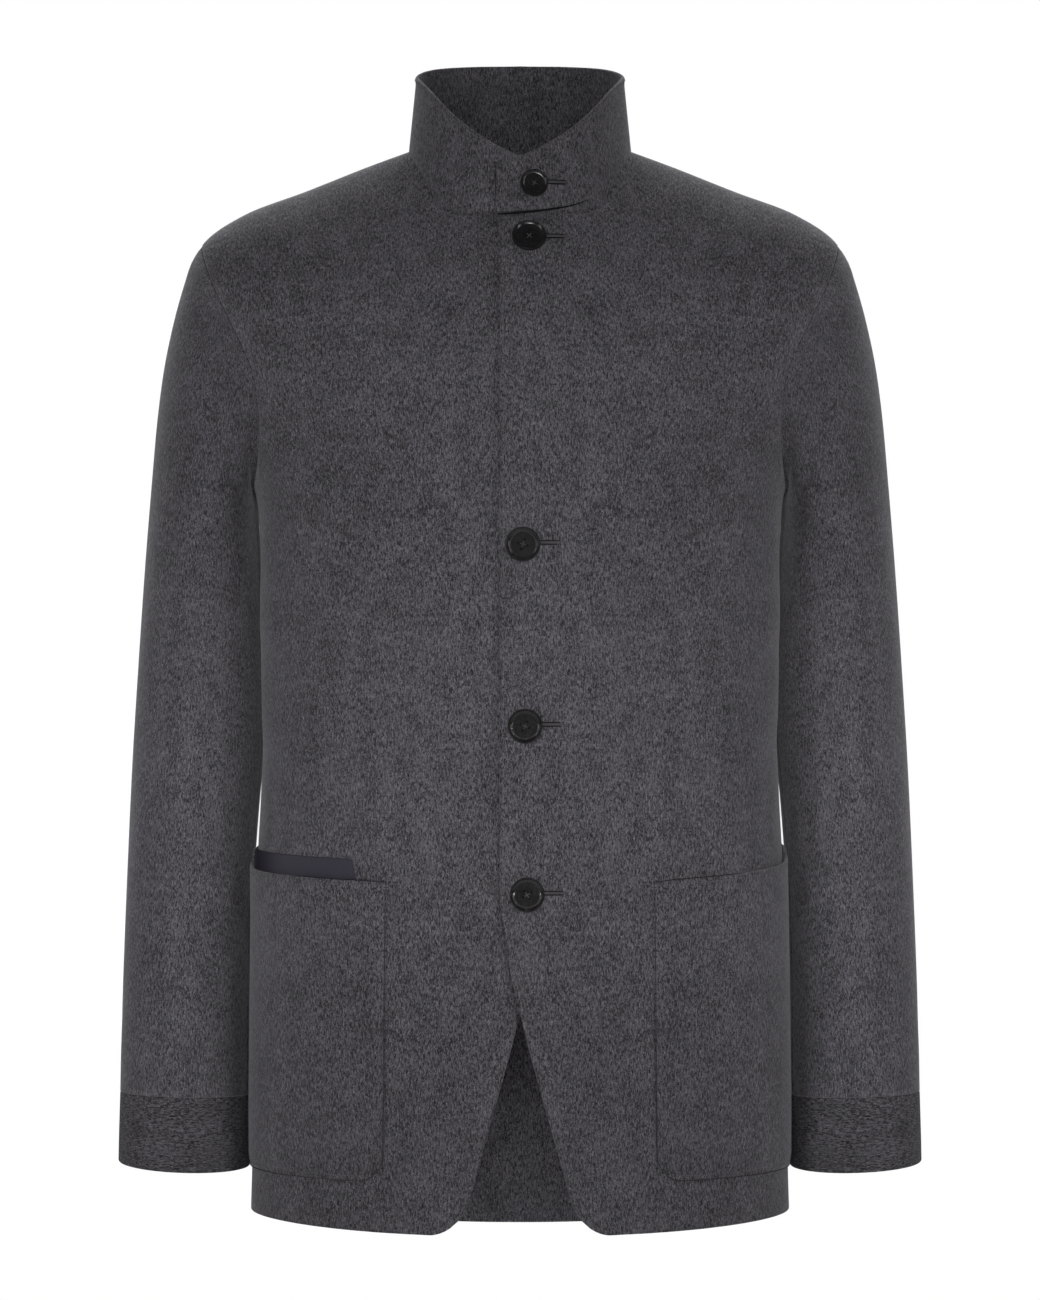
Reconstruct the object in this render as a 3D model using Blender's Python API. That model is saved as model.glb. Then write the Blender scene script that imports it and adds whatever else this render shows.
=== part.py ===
"""Stand-collar jacket in double-faced wool, hollow and filled out as when it is worn.

Metres, +Z up. The front faces -Y, and +X is the wearer's left. The origin is the middle of the neck
opening, level with the top of the shoulder seams, where the wearer's neck and shoulders carry it.
"""

import math
from collections import namedtuple

import bmesh
import bpy
import numpy as np
from mathutils import Matrix, Vector

# Cloth and seams
CLOTH = 0.0024
LINING = 0.0010
SEAM_GAP = 0.0003
WRAP_LIFT = CLOTH + 2 * SEAM_GAP

# Body: one row for each level ring, from the hem up to the neck seam. Up to the underarm a ring's level
# is its height at the side seam, and above it the level counts on up over the shoulder to the neck.
TorsoRing = namedtuple(
    "TorsoRing",
    "level front_z side_z back_z half_width front_depth back_depth squareness side_rise",
)
TORSO = (
    TorsoRing(-0.736, -0.743, -0.736, -0.760, 0.1880, 0.139, 0.131, 2.35, 2.0),
    TorsoRing(-0.700, -0.702, -0.700, -0.715, 0.1870, 0.139, 0.131, 2.35, 2.0),
    TorsoRing(-0.600, -0.600, -0.600, -0.605, 0.1855, 0.138, 0.129, 2.35, 2.0),
    TorsoRing(-0.500, -0.500, -0.500, -0.501, 0.1835, 0.136, 0.125, 2.35, 2.0),
    TorsoRing(-0.440, -0.440, -0.440, -0.440, 0.1815, 0.134, 0.121, 2.35, 2.0),
    TorsoRing(-0.330, -0.330, -0.330, -0.330, 0.1830, 0.134, 0.120, 2.35, 2.0),
    TorsoRing(-0.238, -0.238, -0.238, -0.238, 0.1845, 0.135, 0.122, 2.35, 2.0),
    TorsoRing(-0.148, -0.195, -0.150, -0.170, 0.2110, 0.133, 0.124, 2.35, 2.0),
    TorsoRing(-0.058, -0.150, -0.0645, -0.105, 0.2228, 0.127, 0.119, 2.30, 2.0),
    TorsoRing(-0.018, -0.123, -0.0425, -0.073, 0.1947, 0.120, 0.111, 2.20, 2.2),
    TorsoRing(0.022, -0.094, -0.026, -0.042, 0.1500, 0.110, 0.098, 2.10, 2.6),
    TorsoRing(0.062, -0.068, -0.010, -0.016, 0.1100, 0.098, 0.083, 2.05, 3.2),
    TorsoRing(0.102, -0.046, 0.002, 0.006, 0.0778, 0.086, 0.068, 2.00, 3.8),
)
HEM, UNDERARM, SHOULDER_TIP, NECK = -0.736, -0.238, -0.058, 0.102

# Side seam, and how far the armhole bites into the front and the back, in degrees round the body
SIDE_SEAM_ANGLE = 97.0
SHOULDER_SEAM_ANGLE = 90.0
ARMHOLE_FRONT_BITE = 36.0
ARMHOLE_BACK_BITE = 39.0
ARMHOLE_STEPS = 12
UNDERARM_DIP = 0.028
SHOULDER_BOW = 0.030
BOW_SCALE = 27 / 4
MITRE_LIMIT = 0.5
BACK_COLUMNS = 9

# Front edge: it runs straight past the centre, then sweeps away to a round hem corner
FRONT_OVERLAP = 0.014
SWEEP_START = -0.495
SWEEP_SLOPE = 0.335
SWEEP_EASE = 0.097
HEM_CORNER = 0.028
WRAP_FLAT = 0.018
WRAP_END = 0.080

# Patch pockets, in heights and in degrees round the body
POCKET_BOTTOM = -0.705
POCKET_CORNER = 0.017
POCKET_MOUTH = -0.504
MOUTH_RISE = -0.482
POCKET_ANGLES = (26.0, 27.6, 31.2, 42.0, 54.0, 66.0, 78.0, 87.0, 94.0)
POCKET_STAND = (0.0, 0.35, 0.75, 1.0, 1.0, 1.0, 0.9, 0.7, 0.0)
POCKET_CORNER_REACH = (0.0, 0.36)
POCKET_FIRST_COLUMN = 4
MOUTH_CURVE = 1.6

# Pocket rows: the side it is on (+1 is the wearer's left), the height that the mouth's outer end reaches,
# how far the pocket stands off the front inside its seams, and how far the mouth gapes
Pocket = namedtuple("Pocket", "name side mouth_end stand_off gape")
POCKETS = (
    Pocket("pocket_left", 1, -0.4820, 0.0010, 0.0008),
    Pocket("pocket_right", -1, -0.4935, 0.0012, 0.0028),
)
GAPE_DEPTH = 0.040

# Strip of smooth lining that shows behind the sagging mouth of the wearer's right pocket
STRIP_FIRST, STRIP_LAST = 2, 7
STRIP_BOTTOM = -0.524
STRIP_TOP_INNER, STRIP_TOP_OUTER = -0.4925, -0.4825

# Sleeves: one row for each ring below the armhole. The outer and inner points are the sleeve's outline
# from the front, half_depth and mid_y its outline from the side, and keep the share of the armhole's shape.
SleeveRing = namedtuple("SleeveRing", "outer_x outer_z inner_x inner_z half_depth mid_y front_drop keep")
SLEEVE = (
    SleeveRing(0.2300, -0.0755, 0.1862, -0.2405, 0.0790, 0.010, 0.0, 0.70),
    SleeveRing(0.2347, -0.0885, 0.1872, -0.2445, 0.0800, 0.012, 0.0, 0.40),
    SleeveRing(0.2420, -0.1130, 0.1867, -0.2510, 0.0800, 0.015, 0.0, 0.15),
    SleeveRing(0.2494, -0.1460, 0.1856, -0.2620, 0.0785, 0.018, 0.0, 0.0),
    SleeveRing(0.2547, -0.1840, 0.1845, -0.2790, 0.0760, 0.020, 0.0, 0.0),
    SleeveRing(0.2589, -0.2300, 0.1837, -0.3060, 0.0725, 0.021, 0.0, 0.0),
    SleeveRing(0.2636, -0.2880, 0.1833, -0.3460, 0.0690, 0.021, 0.0, 0.0),
    SleeveRing(0.2682, -0.3550, 0.1827, -0.3960, 0.0655, 0.021, 0.0, 0.0),
    SleeveRing(0.2725, -0.4260, 0.1844, -0.4510, 0.0620, 0.020, 0.0, 0.0),
    SleeveRing(0.2757, -0.4960, 0.1870, -0.5090, 0.0585, 0.019, 0.0, 0.0),
    SleeveRing(0.2784, -0.5660, 0.1890, -0.5720, 0.0550, 0.017, 0.0, 0.0),
    SleeveRing(0.2800, -0.6200, 0.1898, -0.6230, 0.0525, 0.015, 0.0, 0.0),
    SleeveRing(0.2806, -0.6560, 0.1904, -0.6580, 0.0508, 0.013, 0.0, 0.0),
)
CUFF = (
    SLEEVE[-1],
    SleeveRing(0.2811, -0.6730, 0.1906, -0.6755, 0.0506, 0.013, 0.001, 0.0),
    SleeveRing(0.2815, -0.6890, 0.1907, -0.6920, 0.0502, 0.012, 0.002, 0.0),
    SleeveRing(0.2818, -0.7045, 0.1908, -0.7080, 0.0498, 0.012, 0.003, 0.0),
)
# Seams of the two-piece sleeve, in columns of 15 degrees counted from the underarm towards the front
FRONT_SEAM_COLUMN = 1
BACK_SEAM_COLUMN = 17
# The upper sleeve is one cut piece, held in three solids so that hulls round the arm stay close to its cloth
SleevePart = namedtuple("SleevePart", "name first_ring last_ring")
UPPER_SLEEVE = (
    SleevePart("cap", 0, 4),
    SleevePart("arm", 4, 8),
    SleevePart("forearm", 8, 13),
)
UNDER_SLEEVE = SleevePart("under", 0, 13)

# Stand collar: height of its top edge round the neck, from the overlapping end to the centre back
CollarEdge = namedtuple("CollarEdge", "angle top_z")
COLLAR = (
    CollarEdge(-16.0, -0.0145),
    CollarEdge(0.0, -0.0075),
    CollarEdge(20.0, 0.0060),
    CollarEdge(40.0, 0.0235),
    CollarEdge(60.0, 0.0420),
    CollarEdge(75.0, 0.0505),
    CollarEdge(90.0, 0.0540),
    CollarEdge(118.0, 0.0618),
    CollarEdge(150.0, 0.0668),
    CollarEdge(180.0, 0.0682),
)
COLLAR_OVERLAP = 0.0165
COLLAR_TAPER = 0.0054
COLLAR_BACK_LEAN = 0.0060
COLLAR_ROWS = 5

# Buttons: place on the wearer's left front or on the collar, and diameter
Button = namedtuple("Button", "name x z diameter")
BUTTONS = (
    Button("button_collar", 0.0096, -0.0270, 0.0195),
    Button("button_neck", 0.0062, -0.0650, 0.0240),
    Button("button_chest", 0.0020, -0.2750, 0.0240),
    Button("button_waist", 0.0034, -0.3980, 0.0240),
    Button("button_hip", 0.0048, -0.5120, 0.0240),
)
# Turned half-section of a button, as shares of its radius: from the middle of the face to the back
BUTTON_PROFILE = (
    (0.00, 0.20),
    (0.62, 0.20),
    (0.72, 0.25),
    (0.80, 0.34),
    (0.90, 0.36),
    (1.00, 0.27),
    (0.98, 0.12),
    (0.80, 0.00),
    (0.00, 0.00),
)
BUTTON_STEPS = 20
HOLE_OFFSET, HOLE_RADIUS, HOLE_STEPS = 0.18, 0.085, 8

# Colours from the photograph: base colour, roughness
WOOL = ((0.062, 0.060, 0.066), 0.9)
CUFF_WOOL = ((0.045, 0.044, 0.047), 0.75)
LINING_CLOTH = ((0.040, 0.039, 0.050), 0.45)
HORN = ((0.012, 0.012, 0.013), 0.35)


# Reading tables and building walls


def read_table(table, at):
    """A row of a table at a place between its rows, on smooth curves through their columns."""
    rows = np.array(table)
    knots, values = rows[:, 0], rows[:, 1:]
    slopes = np.gradient(values, knots, axis=0)
    row = int(np.clip(np.searchsorted(knots, at) - 1, 0, len(knots) - 2))
    span = knots[row + 1] - knots[row]
    s = (at - knots[row]) / span
    start, end = values[row], values[row + 1]
    blend = s * s * (3 - 2 * s)
    lean = span * (s * (1 - s) ** 2 * slopes[row] - s * s * (1 - s) * slopes[row + 1])
    return type(table[0])(at, *(start + (end - start) * blend + lean))


def smooth_step(share):
    share = min(1.0, max(0.0, share))
    return share * share * (3 - 2 * share)


def unit(vectors):
    return vectors / np.linalg.norm(vectors, axis=-1, keepdims=True)


def signed_power(value, power):
    return math.copysign(abs(value) ** power, value)


def material(name, finish):
    """A plain finish for a sub-part: base colour and roughness."""
    colour, roughness = finish
    made = bpy.data.materials.new(name)
    made.use_nodes = True
    shader = made.node_tree.nodes["Principled BSDF"]
    shader.inputs["Base Color"].default_value = (*colour, 1.0)
    shader.inputs["Roughness"].default_value = roughness
    shader.inputs["Metallic"].default_value = 0.0
    made.diffuse_color = (*colour, 1.0)
    return made


def add_object(name, bm, finish):
    """Cleans a bmesh, points its faces outwards and puts it in the scene under the jacket's empty."""
    bmesh.ops.remove_doubles(bm, verts=bm.verts, dist=1e-6)
    bmesh.ops.recalc_face_normals(bm, faces=bm.faces)
    mesh = bpy.data.meshes.new(name)
    bm.to_mesh(mesh)
    bm.free()
    mesh.shade_smooth()
    mesh.set_sharp_from_angle(angle=math.radians(50))
    made = bpy.data.objects.new(name, mesh)
    made.data.materials.append(material(name, finish))
    made.parent = JACKET
    bpy.context.scene.collection.objects.link(made)
    return made


def wall(name, outer, inner, finish, tube=False):
    """A closed cloth wall between two grids of points, with rims round its open edges."""
    rows, columns = outer.shape[:2]
    bm = bmesh.new()
    skins = [[[bm.verts.new(p) for p in row] for row in grid] for grid in (outer, inner)]
    steps = columns if tube else columns - 1

    def quad(corners):
        if len(set(corners)) == 4:
            bm.faces.new(corners)

    for r in range(rows - 1):
        for c in range(steps):
            n = (c + 1) % columns
            for skin in skins:
                quad((skin[r][c], skin[r][n], skin[r + 1][n], skin[r + 1][c]))
    for c in range(steps):
        n = (c + 1) % columns
        for r in (0, rows - 1):
            quad((skins[0][r][c], skins[0][r][n], skins[1][r][n], skins[1][r][c]))
    for c in () if tube else (0, columns - 1):
        for r in range(rows - 1):
            quad((skins[0][r][c], skins[0][r + 1][c], skins[1][r + 1][c], skins[1][r][c]))
    return add_object(name, bm, finish)


def pulled_in(grid, column, towards):
    """Moves one column of a grid half a seam gap towards its neighbour."""
    step = unit(grid[:, towards] - grid[:, column])
    grid[:, column] += step * SEAM_GAP / 2


# The body's form


def torso_point(angle, level):
    """A point of the body: angle in degrees from the centre front, positive to the wearer's left."""
    ring = read_table(TORSO, level)
    sine, cosine = math.sin(math.radians(angle)), math.cos(math.radians(angle))
    depth, end_z = (ring.front_depth, ring.front_z) if cosine > 0 else (ring.back_depth, ring.back_z)
    power = 2 / ring.squareness
    x = ring.half_width * signed_power(sine, power)
    y = -depth * signed_power(cosine, power)
    return np.array((x, y, end_z + (ring.side_z - end_z) * abs(sine) ** ring.side_rise))


def torso_normal(angle, level):
    """The outward direction there, from the slopes of the form."""
    turn, climb = 0.8, 0.003
    across = torso_point(angle + turn, level) - torso_point(angle - turn, level)
    top, low = min(level + climb, NECK), max(level - climb, HEM)
    up = torso_point(angle, top) - torso_point(angle, low)
    return unit(np.cross(across, up))


def angle_at(x, level):
    """The angle of the body's form at a distance from the centre front."""
    ring = read_table(TORSO, level)
    sine = min(1.0, (abs(x) / ring.half_width) ** (ring.squareness / 2))
    return math.copysign(math.degrees(math.asin(sine)), x)


def armhole_place(step, bite):
    """(angle, level) of the armhole's seam, counted up from the underarm to the shoulder tip."""
    turn = math.pi * step / ARMHOLE_STEPS
    climbed = (1 - math.cos(turn)) / 2
    middle = SIDE_SEAM_ANGLE + (SHOULDER_SEAM_ANGLE - SIDE_SEAM_ANGLE) * climbed
    return middle + bite * math.sin(turn), UNDERARM + (SHOULDER_TIP - UNDERARM) * climbed


def body_rows():
    """For each row of a body panel: its level at the centre, then the armhole step or None."""
    turns = np.linspace(0, math.pi / 2, 5)
    corner = HEM + HEM_CORNER * (1 - np.cos(turns))
    pocket = np.linspace(POCKET_BOTTOM + POCKET_CORNER, POCKET_MOUTH, 6)
    waist = np.linspace(MOUTH_RISE, UNDERARM, 7)[:-1]
    rows = [(level, None) for level in (*corner, POCKET_BOTTOM, *pocket, *waist)]
    for step in range(ARMHOLE_STEPS + 1):
        rows.append((UNDERARM + (SHOULDER_TIP - UNDERARM) * step / ARMHOLE_STEPS, step))
    rows += [(level, None) for level in np.linspace(SHOULDER_TIP, NECK, 6)[1:]]
    return rows


ROWS = body_rows()


def side_place(level, step, bite):
    """(angle, level) of a panel row's outer end: side seam, armhole or shoulder seam."""
    if step is not None:
        return armhole_place(step, bite)
    return (SIDE_SEAM_ANGLE if level < UNDERARM else SHOULDER_SEAM_ANGLE), level


def front_edge_x(level):
    """Distance of the front edge from the centre, negative where it laps over to the other side."""
    fall = max(0.0, SWEEP_START - level)
    edge = -FRONT_OVERLAP + SWEEP_SLOPE * (math.hypot(fall, SWEEP_EASE) - SWEEP_EASE)
    height = level - HEM
    if height < HEM_CORNER:
        edge += HEM_CORNER - math.sqrt(HEM_CORNER**2 - (HEM_CORNER - height) ** 2)
    return edge


def front_row_angles(level, end_angle):
    """Column angles of a front's row: three close to its edge, then those of the pocket, then the side."""
    edge = front_edge_x(level)
    near = [angle_at(edge + FRONT_OVERLAP * i, level) for i in range(3)]
    share = (end_angle - near[2]) / (SIDE_SEAM_ANGLE - near[2])
    far = np.array([(near[2] + POCKET_ANGLES[0]) / 2, *POCKET_ANGLES, SIDE_SEAM_ANGLE])
    even = np.linspace(near[2], SIDE_SEAM_ANGLE, len(far) + 1)[1:]
    far += (even - far) * smooth_step((level - MOUTH_RISE) / (UNDERARM - MOUTH_RISE))
    return near + list(near[2] + (far - near[2]) * share)


def wrap_lift(mirrored_x):
    """How far the upper layer of the closing stands off the under one, fading out away from the edge."""
    return WRAP_LIFT * (1 - smooth_step((mirrored_x - WRAP_FLAT) / (WRAP_END - WRAP_FLAT)))


def row_bow(level):
    """How far a row bows up or down before its outer end, so that it halves the armhole's corners."""
    places = (MOUTH_RISE, UNDERARM, SHOULDER_TIP, NECK)
    return np.interp(level, places, (0.0, -UNDERARM_DIP, SHOULDER_BOW, 0.0))


def panel_grids(side, angles_of_row, bite, lifted=False):
    """(points, normals) of a body panel's outer face, row by row from the hem to the neck."""
    points, normals = [], []
    for level, step in ROWS:
        end_angle, end_level = side_place(level, step, bite)
        row_points, row_normals = [], []
        angles = angles_of_row(level, end_angle)
        for angle in angles:
            share = abs(angle - angles[0]) / abs(angles[-1] - angles[0])
            here = level + (end_level - level) * share + row_bow(level) * BOW_SCALE * share**2 * (1 - share)
            normal = torso_normal(side * angle, here)
            point = torso_point(side * angle, here)
            if lifted:
                point = point + normal * wrap_lift(side * point[0])
            row_points.append(point)
            row_normals.append(normal)
        points.append(row_points)
        normals.append(row_normals)
    return np.array(points), np.array(normals)


# Armhole: the body's seam ring and the sleeve's rings


def sleeve_ring(row, side):
    """Outline of one sleeve ring: from the underarm round by the front to the top and back again."""
    turns = math.pi * np.arange(2 * ARMHOLE_STEPS) / ARMHOLE_STEPS
    along = (1 - np.cos(turns)) / 2
    x = row.inner_x + (row.outer_x - row.inner_x) * along
    y = row.mid_y - row.half_depth * np.sin(turns)
    z = row.inner_z + (row.outer_z - row.inner_z) * along - row.front_drop * np.sin(turns)
    return np.stack((side * x, y, z), axis=1)


def armhole_ring(side):
    """(points, normals) of the armhole's seam on the body, in the order of a sleeve ring."""
    places = [armhole_place(step, -ARMHOLE_FRONT_BITE) for step in range(ARMHOLE_STEPS + 1)]
    places += [armhole_place(step, ARMHOLE_BACK_BITE) for step in range(ARMHOLE_STEPS - 1, 0, -1)]
    points = np.array([torso_point(side * angle, level) for angle, level in places])
    normals = np.array([torso_normal(side * angle, level) for angle, level in places])
    return points, normals


def outward_normals(rings, side):
    """Outward directions of a tube of rings."""
    around = np.roll(rings, -1, axis=1) - np.roll(rings, 1, axis=1)
    along = np.gradient(rings, axis=0)
    return unit(np.cross(along, around)) * side


class Sleeve:
    """The rings of one sleeve, and the seam that it shares with the armhole."""

    def __init__(self, side):
        self.side = side
        seam, body_normals = armhole_ring(side)
        tip, under = seam[ARMHOLE_STEPS], seam[0]
        depth = (seam[:, 1].max() - seam[:, 1].min()) / 2
        middle = (seam[:, 1].max() + seam[:, 1].min()) / 2
        first = SleeveRing(abs(tip[0]), tip[2], abs(under[0]), under[2], depth, middle, 0.0, 1.0)
        own_shape = seam - sleeve_ring(first, side)
        rings = np.array([seam] + [sleeve_ring(row, side) + own_shape * row.keep for row in SLEEVE])
        normals = outward_normals(rings, side)
        facing = np.maximum(1 + (normals[0] * body_normals).sum(axis=1, keepdims=True), MITRE_LIMIT)
        self.mitre = -(normals[0] + body_normals) / facing * CLOTH
        around = np.roll(seam, -1, axis=0) - np.roll(seam, 1, axis=0)
        apart = unit(np.cross(self.mitre, around))
        apart *= np.sign((apart * (rings[1] - seam)).sum(axis=1, keepdims=True))
        rings[0] = seam + apart * SEAM_GAP
        rings[-1] -= unit(rings[-1] - rings[-2]) * SEAM_GAP / 2
        inner = rings - normals * CLOTH
        inner[0] = rings[0] + self.mitre
        self.outer, self.inner = rings, inner
        steps = np.arange(ARMHOLE_STEPS + 1)
        self.front_mitre, self.back_mitre = self.mitre[steps], self.mitre[-steps]

    def strip(self, name, first, last, part):
        """A stretch of the sleeve, from one lengthwise seam to the other."""
        columns = np.arange(first, last + 1) % (2 * ARMHOLE_STEPS)
        rings = slice(part.first_ring, part.last_ring + 1)
        outer, inner = self.outer[rings, columns].copy(), self.inner[rings, columns].copy()
        for grid in (outer, inner):
            pulled_in(grid, 0, 1)
            pulled_in(grid, -1, -2)
            level_rows = grid.swapaxes(0, 1)
            if part.first_ring > 0:
                pulled_in(level_rows, 0, 1)
            if part.last_ring < len(SLEEVE):
                pulled_in(level_rows, -1, -2)
        return wall(name, outer, inner, WOOL)

    def cuff(self, name):
        rings = np.array([sleeve_ring(row, self.side) for row in CUFF])
        normals = outward_normals(rings, self.side)
        rings[0] += unit(rings[1] - rings[0]) * SEAM_GAP / 2
        return wall(name, rings, rings - normals * CLOTH, CUFF_WOOL, tube=True)


# Body panels


def body_panel(name, outer, normals, armholes):
    """A body panel's wall: plain offset inside, mitred along its armholes, parted at its seams."""
    inner = outer - normals * CLOTH
    rows = [row for row, (_, step) in enumerate(ROWS) if step is not None]
    for column, towards, mitre in armholes:
        inner[rows, column] = outer[rows, column] + mitre
        for grid in (outer, inner):
            pulled_in(grid, column, towards)
    return wall(name, outer, inner, WOOL)


def back_row_angles(_, end_angle):
    """Column angles of half a back's row, from the centre to the side."""
    return list(np.linspace(180.0, end_angle, BACK_COLUMNS + 1))


def build_fronts(sleeves):
    """The wearer's left front laps over the right one. Returns their outer grids for what lies on them."""
    grids = {}
    for name, side, lifted in (("front_left", 1, True), ("front_right", -1, False)):
        outer, normals = panel_grids(side, front_row_angles, -ARMHOLE_FRONT_BITE, lifted)
        grids[side] = (outer.copy(), normals)
        body_panel(name, outer, normals, [(-1, -2, sleeves[side].front_mitre)])
    return grids


def build_back(sleeves):
    """One back from side to side, whose halves share the centre column."""
    left, right = (panel_grids(side, back_row_angles, ARMHOLE_BACK_BITE) for side in (1, -1))
    outer, normals = (np.concatenate((a[:, ::-1], b[:, 1:]), axis=1) for a, b in zip(left, right))
    armholes = [(0, 1, sleeves[1].back_mitre), (-1, -2, sleeves[-1].back_mitre)]
    return body_panel("back", outer, normals, armholes)


# What lies on the fronts: pockets, the strip of lining, buttons


def on_panel(grid, column, level):
    """A point or normal on a front's own column line, at a height between two of its rows."""
    levels = [row_level for row_level, _ in ROWS]
    row = int(np.clip(np.searchsorted(levels, level) - 1, 0, len(levels) - 2))
    share = (level - levels[row]) / (levels[row + 1] - levels[row])
    return grid[row, column] * (1 - share) + grid[row + 1, column] * share


def pocket_floor(index):
    """Height of the pocket's bottom edge on one of its columns, with round corners."""
    near = min(index, len(POCKET_ANGLES) - 1 - index)
    share = POCKET_CORNER_REACH[near] if near < len(POCKET_CORNER_REACH) else 1.0
    return POCKET_BOTTOM + POCKET_CORNER * (1 - math.sqrt(1 - (1 - share) ** 2))


def patch(name, front, rows, cloth, finish):
    """A cloth patch on a front: rows of (column, level, stand-off) from the bottom to the top."""
    points, normals = front
    inner, outer = [], []
    for row in rows:
        at = [on_panel(points, column, level) for column, level, _ in row]
        out = [unit(on_panel(normals, column, level)) for column, level, _ in row]
        inner.append([point + normal * clear for point, normal, (_, _, clear) in zip(at, out, row)])
        outer.append([point + normal * (clear + cloth) for point, normal, (_, _, clear) in zip(at, out, row)])
    return wall(name, np.array(outer), np.array(inner), finish)


def build_pocket(front, pocket):
    """A patch sewn on at its sides and bottom, standing off inside and open along its mouth."""
    levels = [level for level, _ in ROWS if POCKET_BOTTOM <= level <= POCKET_MOUTH]
    rows = []
    for r in range(len(levels) + 1):
        row = []
        for index, stand in enumerate(POCKET_STAND):
            share = index / (len(POCKET_ANGLES) - 1)
            mouth = POCKET_MOUTH + (pocket.mouth_end - POCKET_MOUTH) * share**MOUTH_CURVE
            level = mouth if r == len(levels) else max(levels[r], pocket_floor(index))
            gape = pocket.gape * math.exp((level - mouth) / GAPE_DEPTH)
            clear = SEAM_GAP + (pocket.stand_off + gape) * stand * min(1.0, r / 2)
            row.append((POCKET_FIRST_COLUMN + index, level, clear))
        rows.append(row)
    return patch(pocket.name, front, rows, CLOTH, WOOL)


def build_lining_strip(front):
    """Smooth lining on the front behind the pocket's mouth."""
    rows = []
    for climbed in (0.0, 0.5, 1.0):
        row = []
        for index in range(STRIP_FIRST, STRIP_LAST + 1):
            across = (index - STRIP_FIRST) / (STRIP_LAST - STRIP_FIRST)
            top = STRIP_TOP_INNER + (STRIP_TOP_OUTER - STRIP_TOP_INNER) * across
            row.append((POCKET_FIRST_COLUMN + index, STRIP_BOTTOM + (top - STRIP_BOTTOM) * climbed, SEAM_GAP))
        rows.append(row)
    return patch("pocket_lining", front, rows, LINING, LINING_CLOTH)


def button_mesh(diameter):
    """A turned button with a raised rim."""
    radius = diameter / 2
    bm = bmesh.new()
    chain = [bm.verts.new((r * radius, 0, z * radius)) for r, z in BUTTON_PROFILE]
    edges = [bm.edges.new(pair) for pair in zip(chain, chain[1:])]
    bmesh.ops.spin(
        bm,
        geom=chain + edges,
        cent=(0, 0, 0),
        axis=(0, 0, 1),
        dvec=(0, 0, 0),
        angle=2 * math.pi,
        steps=BUTTON_STEPS,
        use_merge=True,
    )
    return bm


def hole_cutter(name, diameter):
    """Four pins that cut the sewing holes of a button."""
    radius = diameter / 2
    bm = bmesh.new()
    for corner in range(4):
        turn = math.radians(45 + 90 * corner)
        place = Vector((math.cos(turn), math.sin(turn), 0)) * HOLE_OFFSET * math.sqrt(2) * radius
        bmesh.ops.create_cone(
            bm,
            cap_ends=True,
            segments=HOLE_STEPS,
            radius1=HOLE_RADIUS * radius,
            radius2=HOLE_RADIUS * radius,
            depth=diameter,
            matrix=Matrix.Translation(place),
        )
    cutter = add_object(name, bm, HORN)
    cutter.hide_render = True
    cutter.display_type = "WIRE"
    return cutter


def build_button(row, point, normal):
    """A button lying on a cloth point, turned to face out from it."""
    button = add_object(row.name, button_mesh(row.diameter), HORN)
    cutter = hole_cutter(row.name + "_holes", row.diameter)
    facing = Vector(normal).to_track_quat("Z", "Y").to_matrix().to_4x4()
    place = Matrix.Translation(Vector(point) + Vector(normal) * SEAM_GAP)
    for made in (button, cutter):
        made.matrix_local = place @ facing
    cut = button.modifiers.new("sewing holes", "BOOLEAN")
    cut.operation = "DIFFERENCE"
    cut.solver = "EXACT"
    cut.object = cutter
    return button


# Collar


def collar_angles():
    """Column angles of the collar, from the overlapping end round the back to the under end."""
    half = front_row_angles(NECK, SHOULDER_SEAM_ANGLE) + back_row_angles(NECK, SHOULDER_SEAM_ANGLE)[-2::-1]
    under = [360.0 - angle for angle in half[-2::-1]]
    return [angle_at(-COLLAR_OVERLAP, NECK)] + half[1:] + under


def collar_point(angle, climbed):
    """A point of the collar, climbed from 0 at the neck seam to 1 at its top edge."""
    base = torso_point(angle, NECK)
    if angle < SHOULDER_SEAM_ANGLE:
        base = base + torso_normal(angle, NECK) * wrap_lift(base[0])
    sine, cosine = math.sin(math.radians(angle)), math.cos(math.radians(angle))
    lean = COLLAR_TAPER + COLLAR_BACK_LEAN * max(0.0, -cosine)
    x, y = base[:2] - np.array((sine, -cosine)) * lean * climbed
    foot = base[2] + SEAM_GAP
    top = read_table(COLLAR, min(angle, 360.0 - angle)).top_z
    return np.array((x, y, foot + (top - foot) * climbed))


def build_collar():
    """A band round the neck seam whose left end laps over the right one. Returns its outer grid."""
    angles, climbs = collar_angles(), np.linspace(0, 1, COLLAR_ROWS)
    outer = np.array([[collar_point(angle, climbed) for angle in angles] for climbed in climbs])
    normals = unit(np.cross(np.gradient(outer, axis=1), np.gradient(outer, axis=0)))
    inner = outer - normals * CLOTH
    inner[0, :, 2] = outer[0, :, 2]
    wall("collar", outer, inner, WOOL)
    return outer, normals


def mix(grid, row, column, share_x, share_z):
    """A value inside one cell of a grid, mixed from its four corners."""
    low = grid[row, column] * (1 - share_x) + grid[row, column + 1] * share_x
    high = grid[row + 1, column] * (1 - share_x) + grid[row + 1, column + 1] * share_x
    return low * (1 - share_z) + high * share_z


def foremost(carrier, x, z):
    """The point and normal of a cloth grid at a place seen from the front."""
    points, normals = carrier
    found = None
    for row in range(points.shape[0] - 1):
        for column in range(points.shape[1] - 1):
            left, right = points[row, column, 0], points[row, column + 1, 0]
            if not min(left, right) <= x <= max(left, right):
                continue
            share_x = (x - left) / (right - left)
            low, high = (mix(points, row, column, share_x, end)[2] for end in (0, 1))
            if not low <= z <= high:
                continue
            share_z = (z - low) / (high - low)
            point = mix(points, row, column, share_x, share_z)
            if found is None or point[1] < found[0][1]:
                found = point, unit(mix(normals, row, column, share_x, share_z))
    return found


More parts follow.
